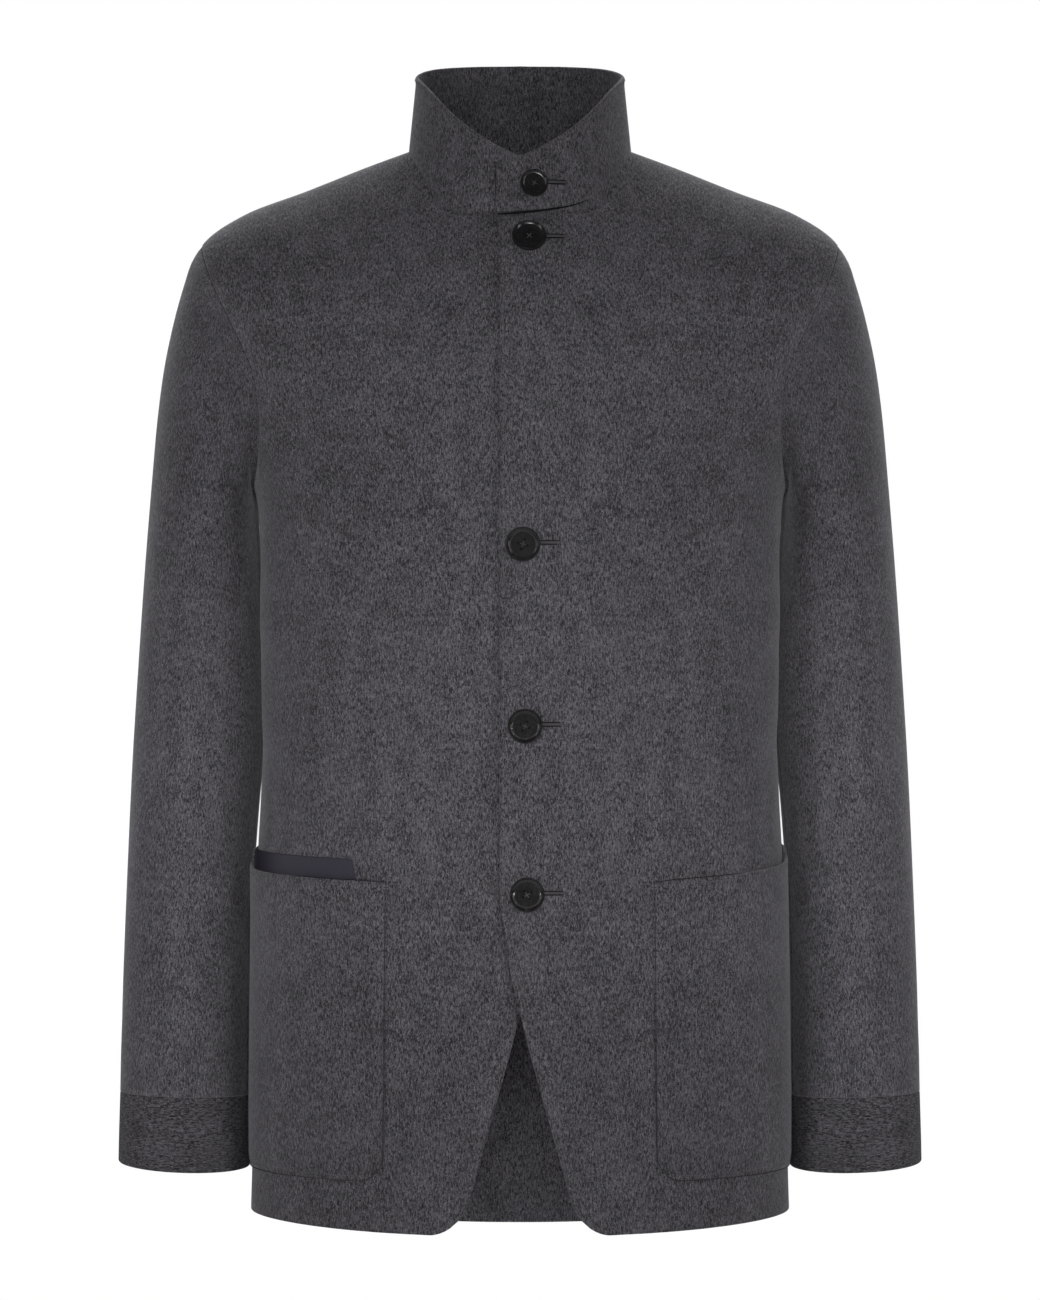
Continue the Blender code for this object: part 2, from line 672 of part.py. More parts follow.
def build_jacket():
    sleeves = {side: Sleeve(side) for side in (1, -1)}
    for label, side in (("left", 1), ("right", -1)):
        sleeve = sleeves[side]
        for part in UPPER_SLEEVE:
            sleeve.strip(f"sleeve_{part.name}_{label}", FRONT_SEAM_COLUMN, BACK_SEAM_COLUMN, part)
        under_end = FRONT_SEAM_COLUMN + 2 * ARMHOLE_STEPS
        sleeve.strip(f"sleeve_{UNDER_SLEEVE.name}_{label}", BACK_SEAM_COLUMN, under_end, UNDER_SLEEVE)
        sleeve.cuff("cuff_" + label)
    fronts = build_fronts(sleeves)
    build_back(sleeves)
    collar = build_collar()
    for pocket in POCKETS:
        build_pocket(fronts[pocket.side], pocket)
    build_lining_strip(fronts[-1])
    for button in BUTTONS:
        carrier = collar if button.name == "button_collar" else fronts[1]
        build_button(button, *foremost(carrier, button.x, button.z))


for old in list(bpy.data.objects):
    bpy.data.objects.remove(old)
JACKET = bpy.data.objects.new("jacket", None)
bpy.context.scene.collection.objects.link(JACKET)
build_jacket()
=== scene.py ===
"""Dresses the stand-collar wool jacket for its picture: cloth, seams, sewing, buttons, light and camera."""

import math
from collections import namedtuple

import bpy
import numpy as np
from mathutils import Matrix, Vector


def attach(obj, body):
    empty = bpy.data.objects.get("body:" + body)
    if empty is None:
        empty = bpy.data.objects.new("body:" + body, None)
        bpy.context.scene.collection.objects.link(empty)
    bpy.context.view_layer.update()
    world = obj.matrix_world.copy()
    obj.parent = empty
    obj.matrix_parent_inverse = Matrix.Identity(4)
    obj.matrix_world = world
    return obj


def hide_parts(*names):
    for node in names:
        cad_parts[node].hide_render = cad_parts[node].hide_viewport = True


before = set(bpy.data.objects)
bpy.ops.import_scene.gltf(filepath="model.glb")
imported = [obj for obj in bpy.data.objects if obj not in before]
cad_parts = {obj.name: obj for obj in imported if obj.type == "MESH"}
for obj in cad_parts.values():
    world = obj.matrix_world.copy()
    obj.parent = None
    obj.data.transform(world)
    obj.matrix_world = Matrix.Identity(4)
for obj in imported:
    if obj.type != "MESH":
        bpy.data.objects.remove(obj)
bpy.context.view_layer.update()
bpy.ops.object.select_all(action="DESELECT")


# Back: one piece of double-faced wool coating, cut on the straight grain from hem to neck. It is sewn to
# both fronts down the sides and over the shoulders, and hangs from the shoulders in shallow soft folds.

CLOTH = 0.0024
FREE_EDGE = 0.0012
SEWN_EDGE = 0.0007
NECK_EDGE = 0.0003
ARMHOLE_EDGE = 0.0009
ARMHOLE_SINK = 0.0004
HEM_TURN, HEM_TURN_STEP, HEM_TURN_EASE = 0.026, 0.0009, 0.0015
# The cloth's grid: close steps in from a rounded edge, where its even cells begin, and their size and number
EDGE_STEPS = np.array((0.0, 0.00015, 0.0005, 0.0012))
HEM_STEP, HEM_BAND, EDGE_BAND, CELL = 0.0025, 0.0045, 0.004, 0.0042
ARMHOLE_ROWS, SHOULDER_ROWS, BACK_COLUMNS = 52, 36, 48


def rows_of(kind, *rows):
    return [kind(*row) for row in rows]


TorsoRing = namedtuple(
    "TorsoRing",
    "level front_z side_z back_z half_width front_depth back_depth squareness side_rise",
)
TORSO = rows_of(
    TorsoRing,
    (-0.736, -0.743, -0.736, -0.760, 0.1880, 0.139, 0.131, 2.35, 2.0),
    (-0.700, -0.702, -0.700, -0.715, 0.1870, 0.139, 0.131, 2.35, 2.0),
    (-0.600, -0.600, -0.600, -0.605, 0.1855, 0.138, 0.129, 2.35, 2.0),
    (-0.500, -0.500, -0.500, -0.501, 0.1835, 0.136, 0.125, 2.35, 2.0),
    (-0.440, -0.440, -0.440, -0.440, 0.1815, 0.134, 0.121, 2.35, 2.0),
    (-0.330, -0.330, -0.330, -0.330, 0.1830, 0.134, 0.120, 2.35, 2.0),
    (-0.238, -0.238, -0.238, -0.238, 0.1845, 0.135, 0.122, 2.35, 2.0),
    (-0.148, -0.195, -0.150, -0.170, 0.2110, 0.133, 0.124, 2.35, 2.0),
    (-0.058, -0.150, -0.0645, -0.105, 0.2228, 0.127, 0.119, 2.30, 2.0),
    (-0.018, -0.123, -0.0425, -0.073, 0.1928, 0.120, 0.111, 2.20, 2.2),
    (0.022, -0.094, -0.026, -0.042, 0.1500, 0.110, 0.098, 2.10, 2.6),
    (0.062, -0.068, -0.010, -0.016, 0.1100, 0.098, 0.083, 2.05, 3.2),
    (0.102, -0.046, 0.002, 0.006, 0.0778, 0.086, 0.068, 2.00, 3.8),
)
HEM, MOUTH_RISE, UNDERARM, SHOULDER_TIP, NECK = -0.736, -0.482, -0.238, -0.058, 0.102
SIDE_SEAM_ANGLE, SHOULDER_SEAM_ANGLE = 97.0, 90.0
ARMHOLE_FRONT_BITE, ARMHOLE_BACK_BITE = -36.0, 39.0
ARMHOLE_STEPS, STEP_TURN = 12, 15.0
UNDERARM_DIP, SHOULDER_BOW, BOW_SCALE = 0.028, 0.030, 27 / 4
MITRE_LIMIT, MITRE_REACH = 0.5, 0.004
GRAIN_RISE_START, GRAIN_RISE, GRAIN_SLOPE, GRAIN_DEPTH = -0.25, 0.20, 0.45, 0.13

# Creases of the body, as soft troughs (depth below 0) and ridges, from one end to the other: degrees
# round from the centre front, positive to the wearer's left, and level up the cloth
TORSO_GIRTH, CREASE_FADE = 0.16, 0.4
Crease = namedtuple("Crease", "start_turn start_level end_turn end_level width depth")
TORSO_CREASES = rows_of(
    Crease,
    (98, -0.238, 98, -0.490, 0.030, -0.0062),
    (-98, -0.238, -98, -0.490, 0.030, -0.0062),
    (28, -0.250, 57, -0.168, 0.017, -0.0016),
    (-31, -0.243, -58, -0.160, 0.016, -0.0019),
    (20, -0.205, 40, -0.110, 0.024, -0.0014),
    (-22, -0.212, -41, -0.118, 0.022, -0.0012),
    (11.5, -0.455, 13.0, -0.285, 0.017, 0.0016),
    (-12.5, -0.445, -11.0, -0.290, 0.016, 0.0015),
    (-26, -0.214, 25, -0.210, 0.028, -0.0024),
    (-24, -0.322, 26, -0.318, 0.036, 0.0020),
    (52, -0.372, 88, -0.338, 0.014, -0.0018),
    (-50, -0.362, -87, -0.346, 0.013, -0.0016),
    (58, -0.424, 92, -0.405, 0.013, -0.0012),
    (-55, -0.433, -90, -0.409, 0.014, -0.0013),
    (34, -0.640, 39, -0.470, 0.022, -0.0012),
    (-35, -0.655, -38, -0.480, 0.021, -0.0011),
    (146, -0.330, 130, -0.150, 0.024, -0.0030),
    (-149, -0.318, -131, -0.146, 0.025, -0.0028),
    (166, -0.405, 122, -0.372, 0.018, -0.0032),
    (-163, -0.412, -124, -0.366, 0.017, -0.0029),
    (160, -0.462, 112, -0.428, 0.016, -0.0024),
    (-167, -0.455, -110, -0.436, 0.017, -0.0026),
    (158, -0.745, 163, -0.480, 0.026, 0.0038),
    (-154, -0.745, -161, -0.500, 0.024, 0.0033),
    (181, -0.740, 178, -0.505, 0.022, -0.0030),
    (131, -0.745, 136, -0.560, 0.021, -0.0026),
    (-128, -0.745, -134, -0.545, 0.022, -0.0029),
)


def read_table(table, at):
    """Rows of a table at places between its rows, on smooth curves through their columns."""
    rows = np.array(table)
    knots, values = rows[:, 0], rows[:, 1:]
    slopes = np.gradient(values, knots, axis=0)
    row = np.clip(np.searchsorted(knots, at) - 1, 0, len(knots) - 2)
    span = knots[row + 1] - knots[row]
    s = (at - knots[row]) / span
    blend = (s * s * (3 - 2 * s))[..., None]
    lean_start, lean_end = (span * s * (1 - s) ** 2)[..., None], (span * s * s * (1 - s))[..., None]
    change = (values[row + 1] - values[row]) * blend
    return values[row] + change + lean_start * slopes[row] - lean_end * slopes[row + 1]


def smooth_step(share):
    share = np.clip(share, 0.0, 1.0)
    return share * share * (3 - 2 * share)


def unit(vectors):
    return vectors / np.maximum(np.linalg.norm(vectors, axis=-1, keepdims=True), 1e-12)


def torso_point(angle, level):
    """Points of the body's form: degrees round from the centre front, and level up the cloth."""
    ring = np.moveaxis(read_table(TORSO, level), -1, 0)
    front_z, side_z, back_z, half_width, front_depth, back_depth, squareness, side_rise = ring
    sine, cosine = np.sin(np.radians(angle)), np.cos(np.radians(angle))
    depth = np.where(cosine > 0, front_depth, back_depth)
    end_z = np.where(cosine > 0, front_z, back_z)
    x = half_width * np.sign(sine) * np.abs(sine) ** (2 / squareness)
    y = -depth * np.sign(cosine) * np.abs(cosine) ** (2 / squareness)
    return np.stack((x, y, end_z + (side_z - end_z) * np.abs(sine) ** side_rise), axis=-1)


def torso_normal(angle, level):
    turn, climb = 0.8, 0.003
    across = torso_point(angle + turn, level) - torso_point(angle - turn, level)
    top, low = np.minimum(level + climb, NECK), np.maximum(level - climb, HEM)
    return unit(np.cross(across, torso_point(angle, top) - torso_point(angle, low)))


def crease_relief(creases, girth, turn, level):
    """How far the cloth stands out, or in, where soft creases run across it."""
    relief = np.zeros_like(turn)
    for crease in creases:
        swing = math.radians(crease.end_turn - crease.start_turn) * girth
        run = np.array((swing, crease.end_level - crease.start_level))
        length = np.linalg.norm(run)
        for lap in (-360, 0, 360):
            across = np.radians(turn - crease.start_turn + lap) * girth
            along = level - crease.start_level
            share = (across * run[0] + along * run[1]) / length**2
            off = (along * run[0] - across * run[1]) / length
            fade = smooth_step(share / CREASE_FADE) * smooth_step((1 - share) / CREASE_FADE)
            relief += crease.depth * fade * np.exp(-((off / crease.width) ** 2))
    return relief


def armhole_place(step, bite):
    """(angle, level) of the armhole's seam: step 0 is the underarm and the last the shoulder tip."""
    turn = math.pi * step / ARMHOLE_STEPS
    climbed = (1 - np.cos(turn)) / 2
    middle = SIDE_SEAM_ANGLE + (SHOULDER_SEAM_ANGLE - SIDE_SEAM_ANGLE) * climbed
    return middle + bite * np.sin(turn), UNDERARM + (SHOULDER_TIP - UNDERARM) * climbed


def body_rows(bite):
    """Rows of a body panel from hem to neck: level at the centre, then angle and level at the outer end."""
    low = np.concatenate((EDGE_STEPS, (HEM_STEP,), np.arange(HEM_BAND, UNDERARM - HEM, CELL))) + HEM
    steps = np.linspace(0, ARMHOLE_STEPS, ARMHOLE_ROWS)
    beside_armhole = UNDERARM + (SHOULDER_TIP - UNDERARM) * steps / ARMHOLE_STEPS
    high = np.linspace(SHOULDER_TIP, NECK - EDGE_BAND, SHOULDER_ROWS)[1:]
    high = np.concatenate((high, NECK - EDGE_STEPS[::-1]))
    seam_angle, seam_level = armhole_place(steps, bite)
    level = np.concatenate((low, beside_armhole, high))
    side, shoulder = np.full(len(low), SIDE_SEAM_ANGLE), np.full(len(high), SHOULDER_SEAM_ANGLE)
    end_angle = np.concatenate((side, seam_angle, shoulder))
    end_level = np.concatenate((low, seam_level, high))
    step = np.concatenate((np.full(len(low), np.nan), steps, np.full(len(high), np.nan)))
    return level, end_angle, end_level, step


def row_bow(level):
    places = (MOUTH_RISE, UNDERARM, SHOULDER_TIP, NECK)
    return np.interp(level, places, (0.0, -UNDERARM_DIP, SHOULDER_BOW, 0.0))


def along_rows(points):
    steps = np.linalg.norm(np.diff(points, axis=1), axis=2)
    return np.concatenate((np.zeros((len(points), 1)), np.cumsum(steps, axis=1)), axis=1)


def along_columns(points):
    return along_rows(points.swapaxes(0, 1)).T


def close_at_edges(inside, full, steps=EDGE_STEPS):
    """Places from 0 to full that are close together at both ends, where the cloth is rounded off."""
    return np.concatenate((steps, inside, full - steps[::-1]))


def panel_places(rows, first_angle, columns, free_start):
    """(angle, level) of a panel's grid, with close columns along the edges that are rounded."""
    level, end_angle, end_level, _ = rows

    def place(share):
        angle = first_angle[:, None] + (end_angle - first_angle)[:, None] * share
        bow = row_bow(level)[:, None] * BOW_SCALE * share**2 * (1 - share)
        return angle, level[:, None] + (end_level - level)[:, None] * share + bow

    dense = np.linspace(0, 1, 301)[None, :].repeat(len(level), axis=0)
    gone = along_rows(torso_point(*place(dense)))
    shares = []
    for row in range(len(level)):
        full = gone[row, -1]
        inside = np.linspace(EDGE_BAND if free_start else 0.0, full - EDGE_BAND, columns)
        wanted = np.concatenate((EDGE_STEPS if free_start else (), inside, full - EDGE_STEPS[::-1]))
        shares.append(np.interp(wanted, gone[row], dense[row]))
    return place(np.array(shares))


def grid_normals(points, like):
    """Directions out of a grid of cloth points, on the same side as rough ones."""
    normals = unit(np.cross(np.gradient(points, axis=1), np.gradient(points, axis=0)))
    return normals * np.sign((normals * like).sum(axis=2, keepdims=True))


def edge_share(points, edges, tube):
    """How much of its thickness the cloth has: 1 inside, and down to 0 where its edge is rounded off."""
    across = along_rows(points)
    up = along_columns(points)
    gone = [up, up[-1:] - up] if tube else [up, up[-1:] - up, across, across[:, -1:] - across]
    share = np.ones(points.shape[:2])
    for distance, radius in zip(gone, edges):
        share = np.minimum(share, np.sqrt(1 - (1 - np.clip(distance / radius, 0, 1)) ** 2))
    return share


def placed(name, data):
    made = bpy.data.objects.new(name, data)
    bpy.context.scene.collection.objects.link(made)
    return made


def cloth_shell(name, middle, normals, grain, edges, thickness=CLOTH, tube=False, lined=0.0):
    """A thin shell of cloth about a grid of middle points, rounded off at its edges.

    edges gives the rounding at the first row, last row, first column and last column. grain gives each
    point's place on the flat cloth, across and along the grain, in metres. lined is what the cloth has
    more on its inner side, where it is turned in.
    """
    share = edge_share(middle, edges, tube)
    half, inside = (normals * (depth * share)[..., None] for depth in (thickness / 2, thickness / 2 + lined))
    rows, columns = middle.shape[:2]
    outer = np.arange(rows * columns).reshape(rows, columns)
    inner = outer + rows * columns
    inner[0], inner[-1] = outer[0], outer[-1]
    if not tube:
        inner[:, 0], inner[:, -1] = outer[:, 0], outer[:, -1]
    points = np.concatenate(((middle + half).reshape(-1, 3), (middle - inside).reshape(-1, 3)))
    faces = []
    for skin, turned in ((outer, False), (inner, True)):
        right = np.roll(skin, -1, axis=1)
        quads = np.stack((skin[:-1], right[:-1], right[1:], skin[1:]), axis=-1)
        quads = quads if tube else quads[:, :-1]
        faces.append(quads.reshape(-1, 4)[:, ::-1] if turned else quads.reshape(-1, 4))
    faces = np.concatenate(faces)
    r, c = rows // 2, columns // 2
    facing = np.cross(middle[r, c + 1] - middle[r, c], middle[r + 1, c] - middle[r, c])
    if facing @ normals[r, c] < 0:
        faces = faces[:, ::-1]
    used, faces = np.unique(faces, return_inverse=True)
    faces = faces.reshape(-1, 4)
    mesh = bpy.data.meshes.new(name)
    mesh.from_pydata(points[used].tolist(), [], faces.tolist())
    flat_places = np.concatenate((grain.reshape(-1, 2), grain.reshape(-1, 2)))[used]
    layer = mesh.uv_layers.new(name="cloth")
    layer.data.foreach_set("uv", flat_places[faces.reshape(-1)].astype(np.float32).reshape(-1))
    mesh.shade_smooth()
    return placed(name, mesh)


def body_grain(points, start, level, run):
    """Places on a body panel's flat cloth. The grain hangs straight down, over chest and shoulders too."""
    over = smooth_step((level - GRAIN_RISE_START) / GRAIN_RISE)
    across = (start[:, None] + along_rows(points)) * (1 - over) + run * points[..., 0] * over
    up = points[..., 2] + over * GRAIN_SLOPE * (GRAIN_DEPTH - np.abs(points[..., 1]))
    return np.stack((across, up), axis=2)


def fill_in(node, values):
    """Sets a node's own sockets by their names or places."""
    for socket, value in values.items():
        node.inputs[socket].default_value = value


# Layers of mixed fibres about a dark ground: scale across and along the grain, detail and distortion of
# the noise, and weights in the wool's colour and in the height of its nap
GROUND = 0.36
Fibres = namedtuple("Fibres", "across along detail distortion colour nap")
FIBRES = rows_of(
    Fibres,
    (820.0, 300.0, 2.0, 0.8, 1.3, 0.5),
    (1700.0, 330.0, 2.0, 1.0, 2.2, 0.6),
    (900.0, 700.0, 1.0, 1.6, 1.3, 0.4),
    (70.0, 42.0, 3.0, 0.0, 0.42, 0.0),
    (11.0, 6.0, 2.0, 0.0, 0.17, 0.0),
)


def heather_group():
    """Wool flannel: streaky mixed fibres, light and dark, and the height of its brushed nap."""
    group = bpy.data.node_groups.new("wool heather", "ShaderNodeTree")
    for socket, way, kind in (
        ("Cloth place", "INPUT", "Vector"),
        ("Dark fibres", "INPUT", "Color"),
        ("Light fibres", "INPUT", "Color"),
        ("Colour", "OUTPUT", "Color"),
        ("Nap", "OUTPUT", "Float"),
    ):
        group.interface.new_socket(socket, in_out=way, socket_type=f"NodeSocket{kind}")
    nodes, links = group.nodes, group.links
    start, end = nodes.new("NodeGroupInput"), nodes.new("NodeGroupOutput")

    def noise(layer):
        stretch = nodes.new("ShaderNodeVectorMath")
        stretch.operation = "MULTIPLY"
        fill_in(stretch, {1: (layer.across, layer.along, 1.0)})
        links.new(start.outputs["Cloth place"], stretch.inputs[0])
        made = nodes.new("ShaderNodeTexNoise")
        made.noise_dimensions = "2D"
        fill_in(made, {"Scale": 1.0, "Detail": layer.detail, "Roughness": 0.55, "Distortion": layer.distortion})
        links.new(stretch.outputs[0], made.inputs["Vector"])
        return made.outputs["Fac"]

    def weighed(values):
        """The sum of noises about a ground that is darker than the middle, so light fibres stand out."""
        total = None
        for value, weight in values:
            step = nodes.new("ShaderNodeMath")
            step.operation = "MULTIPLY_ADD"
            step.inputs[1].default_value = weight
            links.new(value, step.inputs[0])
            if total is None:
                step.inputs[2].default_value = GROUND - sum(w for _, w in values) / 2
            else:
                links.new(total, step.inputs[2])
            total = step.outputs[0]
        return total

    layers = [(noise(layer), layer) for layer in FIBRES]
    mixed = nodes.new("ShaderNodeMix")
    mixed.data_type = "RGBA"
    mixed.clamp_factor = True
    links.new(weighed([(value, layer.colour) for value, layer in layers]), mixed.inputs["Factor"])
    links.new(start.outputs["Dark fibres"], mixed.inputs[6])
    links.new(start.outputs["Light fibres"], mixed.inputs[7])
    links.new(mixed.outputs[2], end.inputs["Colour"])
    links.new(weighed([(value, layer.nap) for value, layer in layers if layer.nap]), end.inputs["Nap"])
    return group


HEATHER = heather_group()


def new_finish(name):
    """A new material with its nodes, its links and its shader."""
    made = bpy.data.materials.new(name)
    made.use_nodes = True
    nodes, links = made.node_tree.nodes, made.node_tree.links
    return made, nodes, links, nodes["Principled BSDF"]


def raised(nodes, links, height, strength, distance):
    """Gives a finish its fine relief."""
    bump = nodes.new("ShaderNodeBump")
    fill_in(bump, {"Strength": strength, "Distance": distance})
    links.new(height, bump.inputs["Height"])
    links.new(bump.outputs["Normal"], nodes["Principled BSDF"].inputs["Normal"])


def wool_material(name, dark, light, sheen, turned=False):
    """Brushed wool on a cloth's own grain, which runs across the piece where it is turned."""
    made, nodes, links, shader = new_finish(name)
    place = nodes.new("ShaderNodeUVMap")
    place.uv_map = "cloth"
    turn = nodes.new("ShaderNodeMapping")
    fill_in(turn, {"Rotation": (0.0, 0.0, math.radians(90.0 if turned else 0.0))})
    heather = nodes.new("ShaderNodeGroup")
    heather.node_tree = HEATHER
    fill_in(heather, {"Dark fibres": (*dark, 1.0), "Light fibres": (*light, 1.0)})
    links.new(place.outputs["UV"], turn.inputs["Vector"])
    links.new(turn.outputs["Vector"], heather.inputs["Cloth place"])
    links.new(heather.outputs["Colour"], shader.inputs["Base Color"])
    raised(nodes, links, heather.outputs["Nap"], 0.35, 0.0006)
    fill_in(shader, {"Roughness": 0.88, "Specular IOR Level": 0.18, "Sheen Weight": sheen})
    fill_in(shader, {"Sheen Roughness": 0.42, "Sheen Tint": (0.82, 0.81, 0.86, 1.0)})
    return made


WOOL = wool_material("charcoal wool", (0.0165, 0.0157, 0.0182), (0.184, 0.176, 0.198), 0.30)
# The inner faces' wool is the charcoal wool made paler: painted light on the shaded inside of the jacket.
WOOL_INSIDE_PAINTED_PALER = wool_material("charcoal wool, inner face painted paler", (0.022, 0.021, 0.0245), (0.245, 0.235, 0.264), 0.30)


def paint_inside_paler(piece):
    """Gives the inner face a paler copy of the wool: painted light that brightens the shaded inside."""
    piece.data.materials.append(WOOL_INSIDE_PAINTED_PALER)
    for face in piece.data.polygons[len(piece.data.polygons) // 2 :]:
        face.material_index = 1


def sew_in(piece, finish, nodes):
    """Gives a finished piece its cloth or finish and its place in the jacket."""
    piece.data.materials.append(finish)
    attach(piece, "root")
    if nodes:
        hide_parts(*nodes)


# The sleeve's rings, because the armhole is one seam: the outline from the front by its outer and inner
# points, from the side by its half depth and middle, and the share of the armhole's own shape that is left
SleeveRing = namedtuple("SleeveRing", "ring outer_x outer_z inner_x inner_z half_depth mid_y front_drop keep")
SLEEVE = rows_of(
    SleeveRing,
    (1, 0.2300, -0.0755, 0.1843, -0.2405, 0.0790, 0.010, 0.0, 0.70),
    (2, 0.2347, -0.0885, 0.1846, -0.2445, 0.0800, 0.012, 0.0, 0.40),
    (3, 0.2420, -0.1130, 0.1841, -0.2510, 0.0800, 0.015, 0.0, 0.15),
    (4, 0.2494, -0.1460, 0.1833, -0.2620, 0.0785, 0.018, 0.0, 0.0),
    (5, 0.2547, -0.1840, 0.1822, -0.2790, 0.0760, 0.020, 0.0, 0.0),
    (6, 0.2589, -0.2300, 0.1801, -0.3060, 0.0725, 0.021, 0.0, 0.0),
    (7, 0.2636, -0.2880, 0.1778, -0.3460, 0.0690, 0.021, 0.0, 0.0),
    (8, 0.2682, -0.3550, 0.1777, -0.3960, 0.0655, 0.021, 0.0, 0.0),
    (9, 0.2725, -0.4260, 0.1830, -0.4510, 0.0620, 0.020, 0.0, 0.0),
    (10, 0.2757, -0.4960, 0.1870, -0.5090, 0.0585, 0.019, 0.0, 0.0),
    (11, 0.2784, -0.5660, 0.1890, -0.5720, 0.0550, 0.017, 0.0, 0.0),
    (12, 0.2800, -0.6200, 0.1892, -0.6230, 0.0525, 0.015, 0.0, 0.0),
    (13, 0.2806, -0.6560, 0.1894, -0.6580, 0.0508, 0.013, 0.0, 0.0),
)


def armhole_seam(side, turn):
    """(points, normals) of the armhole's seam on the body, by degrees from the underarm round by the front."""
    turn = np.mod(turn, 360.0)
    step = np.where(turn <= 180, turn, 360 - turn) / STEP_TURN
    bite = np.where(turn <= 180, ARMHOLE_FRONT_BITE, ARMHOLE_BACK_BITE)
    angle, level = armhole_place(step, bite)
    return torso_point(side * angle, level), torso_normal(side * angle, level)


def sleeve_outline(rings, side, turn):
    outer_x, outer_z, inner_x, inner_z, half_depth, mid_y, front_drop, _ = np.moveaxis(rings, -1, 0)
    sine, along = np.sin(np.radians(turn)), (1 - np.cos(np.radians(turn))) / 2
    x = inner_x + (outer_x - inner_x) * along
    z = inner_z + (outer_z - inner_z) * along - front_drop * sine
    return np.stack((side * x, mid_y - half_depth * sine, z), axis=-1)


def armhole_ring(side):
    """The armhole as the first row of the sleeve's table."""
    seam, _ = armhole_seam(side, np.arange(0, 360, STEP_TURN))
    tip, under = seam[ARMHOLE_STEPS], seam[0]
    depth, middle = np.ptp(seam[:, 1]) / 2, (seam[:, 1].max() + seam[:, 1].min()) / 2
    return SleeveRing(0, abs(tip[0]), tip[2], abs(under[0]), under[2], depth, middle, 0.0, 1.0)


def sleeve_point(side, ring, turn):
    """Points of a sleeve: ring 0 is the armhole and 13 the cuff's seam."""
    first = armhole_ring(side)
    rings = read_table((first, *SLEEVE), ring)
    seam, _ = armhole_seam(side, turn)
    own_shape = seam - sleeve_outline(np.broadcast_to(np.array(first[1:]), rings.shape), side, turn)
    return sleeve_outline(rings, side, turn) + own_shape * rings[..., 7:]


def corner_offset(out, body, depth):
    """From a seam line in to the cloth's middle, halving the corner of two pieces by their directions out."""
    return -(out + body) / np.maximum(1 + (out * body).sum(axis=-1, keepdims=True), MITRE_LIMIT) * depth


def armhole_offset(side, turn):
    """The offset where the sleeve meets the body."""
    swing, next_ring = 4, 0.25
    here, below = np.zeros_like(turn), np.full_like(turn, next_ring)
    around = sleeve_point(side, here, turn + swing) - sleeve_point(side, here, turn - swing)
    out = unit(np.cross(sleeve_point(side, below, turn) - sleeve_point(side, here, turn), around)) * side
    _, body = armhole_seam(side, turn)
    return corner_offset(out, body, CLOTH / 2 + ARMHOLE_SINK)


def neck_offset(angle):
    """The offset where the upright collar meets the body."""
    body = torso_normal(angle, np.full_like(angle, NECK))
    out = np.stack((np.sin(np.radians(angle)), -np.cos(np.radians(angle)), np.zeros_like(angle)), axis=-1)
    return corner_offset(out, body, CLOTH / 2)


def mitred(offset, distance, at_seam):
    """Offsets to the cloth's middle that turn into the seam's own offset near the seam."""
    share = (1 - smooth_step(distance / MITRE_REACH))[..., None]
    return offset * (1 - share) + at_seam * share


def body_panel(name, points, normals, grain, edges, level, neck_angle, armholes):
    """A body panel's shell; armholes lists (column, side, turns, rows) of the armhole seams on it."""
    offset = -normals * CLOTH / 2
    gone = along_rows(points)
    for column, side, turns, rows in armholes:
        distance = np.abs(gone[rows] - gone[rows, column][:, None])
        offset[rows] = mitred(offset[rows], distance, armhole_offset(side, turns)[:, None])
    up = along_columns(points)
    offset = mitred(offset, up[-1:] - up, neck_offset(neck_angle)[None])
    lined = HEM_TURN_STEP * smooth_step((HEM + HEM_TURN - level) / HEM_TURN_EASE)
    return cloth_shell(name, points + offset, normals, grain, edges, lined=lined)


back_rows = body_rows(ARMHOLE_BACK_BITE)
back_start = np.full(len(back_rows[0]), 180.0)
back_angle, back_level = panel_places(back_rows, back_start, BACK_COLUMNS, free_start=False)
back_angle = np.concatenate((back_angle[:, ::-1], 360 - back_angle[:, 1:]), axis=1)
back_level = np.concatenate((back_level[:, ::-1], back_level[:, 1:]), axis=1)
back_points = torso_point(back_angle, back_level)
back_out = torso_normal(back_angle, back_level)
back_points += back_out * crease_relief(TORSO_CREASES, TORSO_GIRTH, back_angle, back_level)[..., None]
back_out = grid_normals(back_points, back_out)
beside = np.flatnonzero(~np.isnan(back_rows[3]))
back_turns = 360 - STEP_TURN * back_rows[3][beside]
back_cloth = body_panel(
    "back_cloth",
    back_points,
    back_out,
    body_grain(back_points, -along_rows(back_points)[:, back_points.shape[1] // 2], back_level, -1),
    (FREE_EDGE, NECK_EDGE, SEWN_EDGE, SEWN_EDGE),
    back_level,
    back_angle[-1],
    [(0, 1, back_turns, beside), (-1, -1, back_turns, beside)],
)
sew_in(back_cloth, WOOL, ["back"])
paint_inside_paler(back_cloth)


# Fronts: two pieces of the same wool. The wearer's left one laps over the right one down the centre, and
# both sweep away below the last button to a round hem corner. Their edges are turned and pick-stitched.

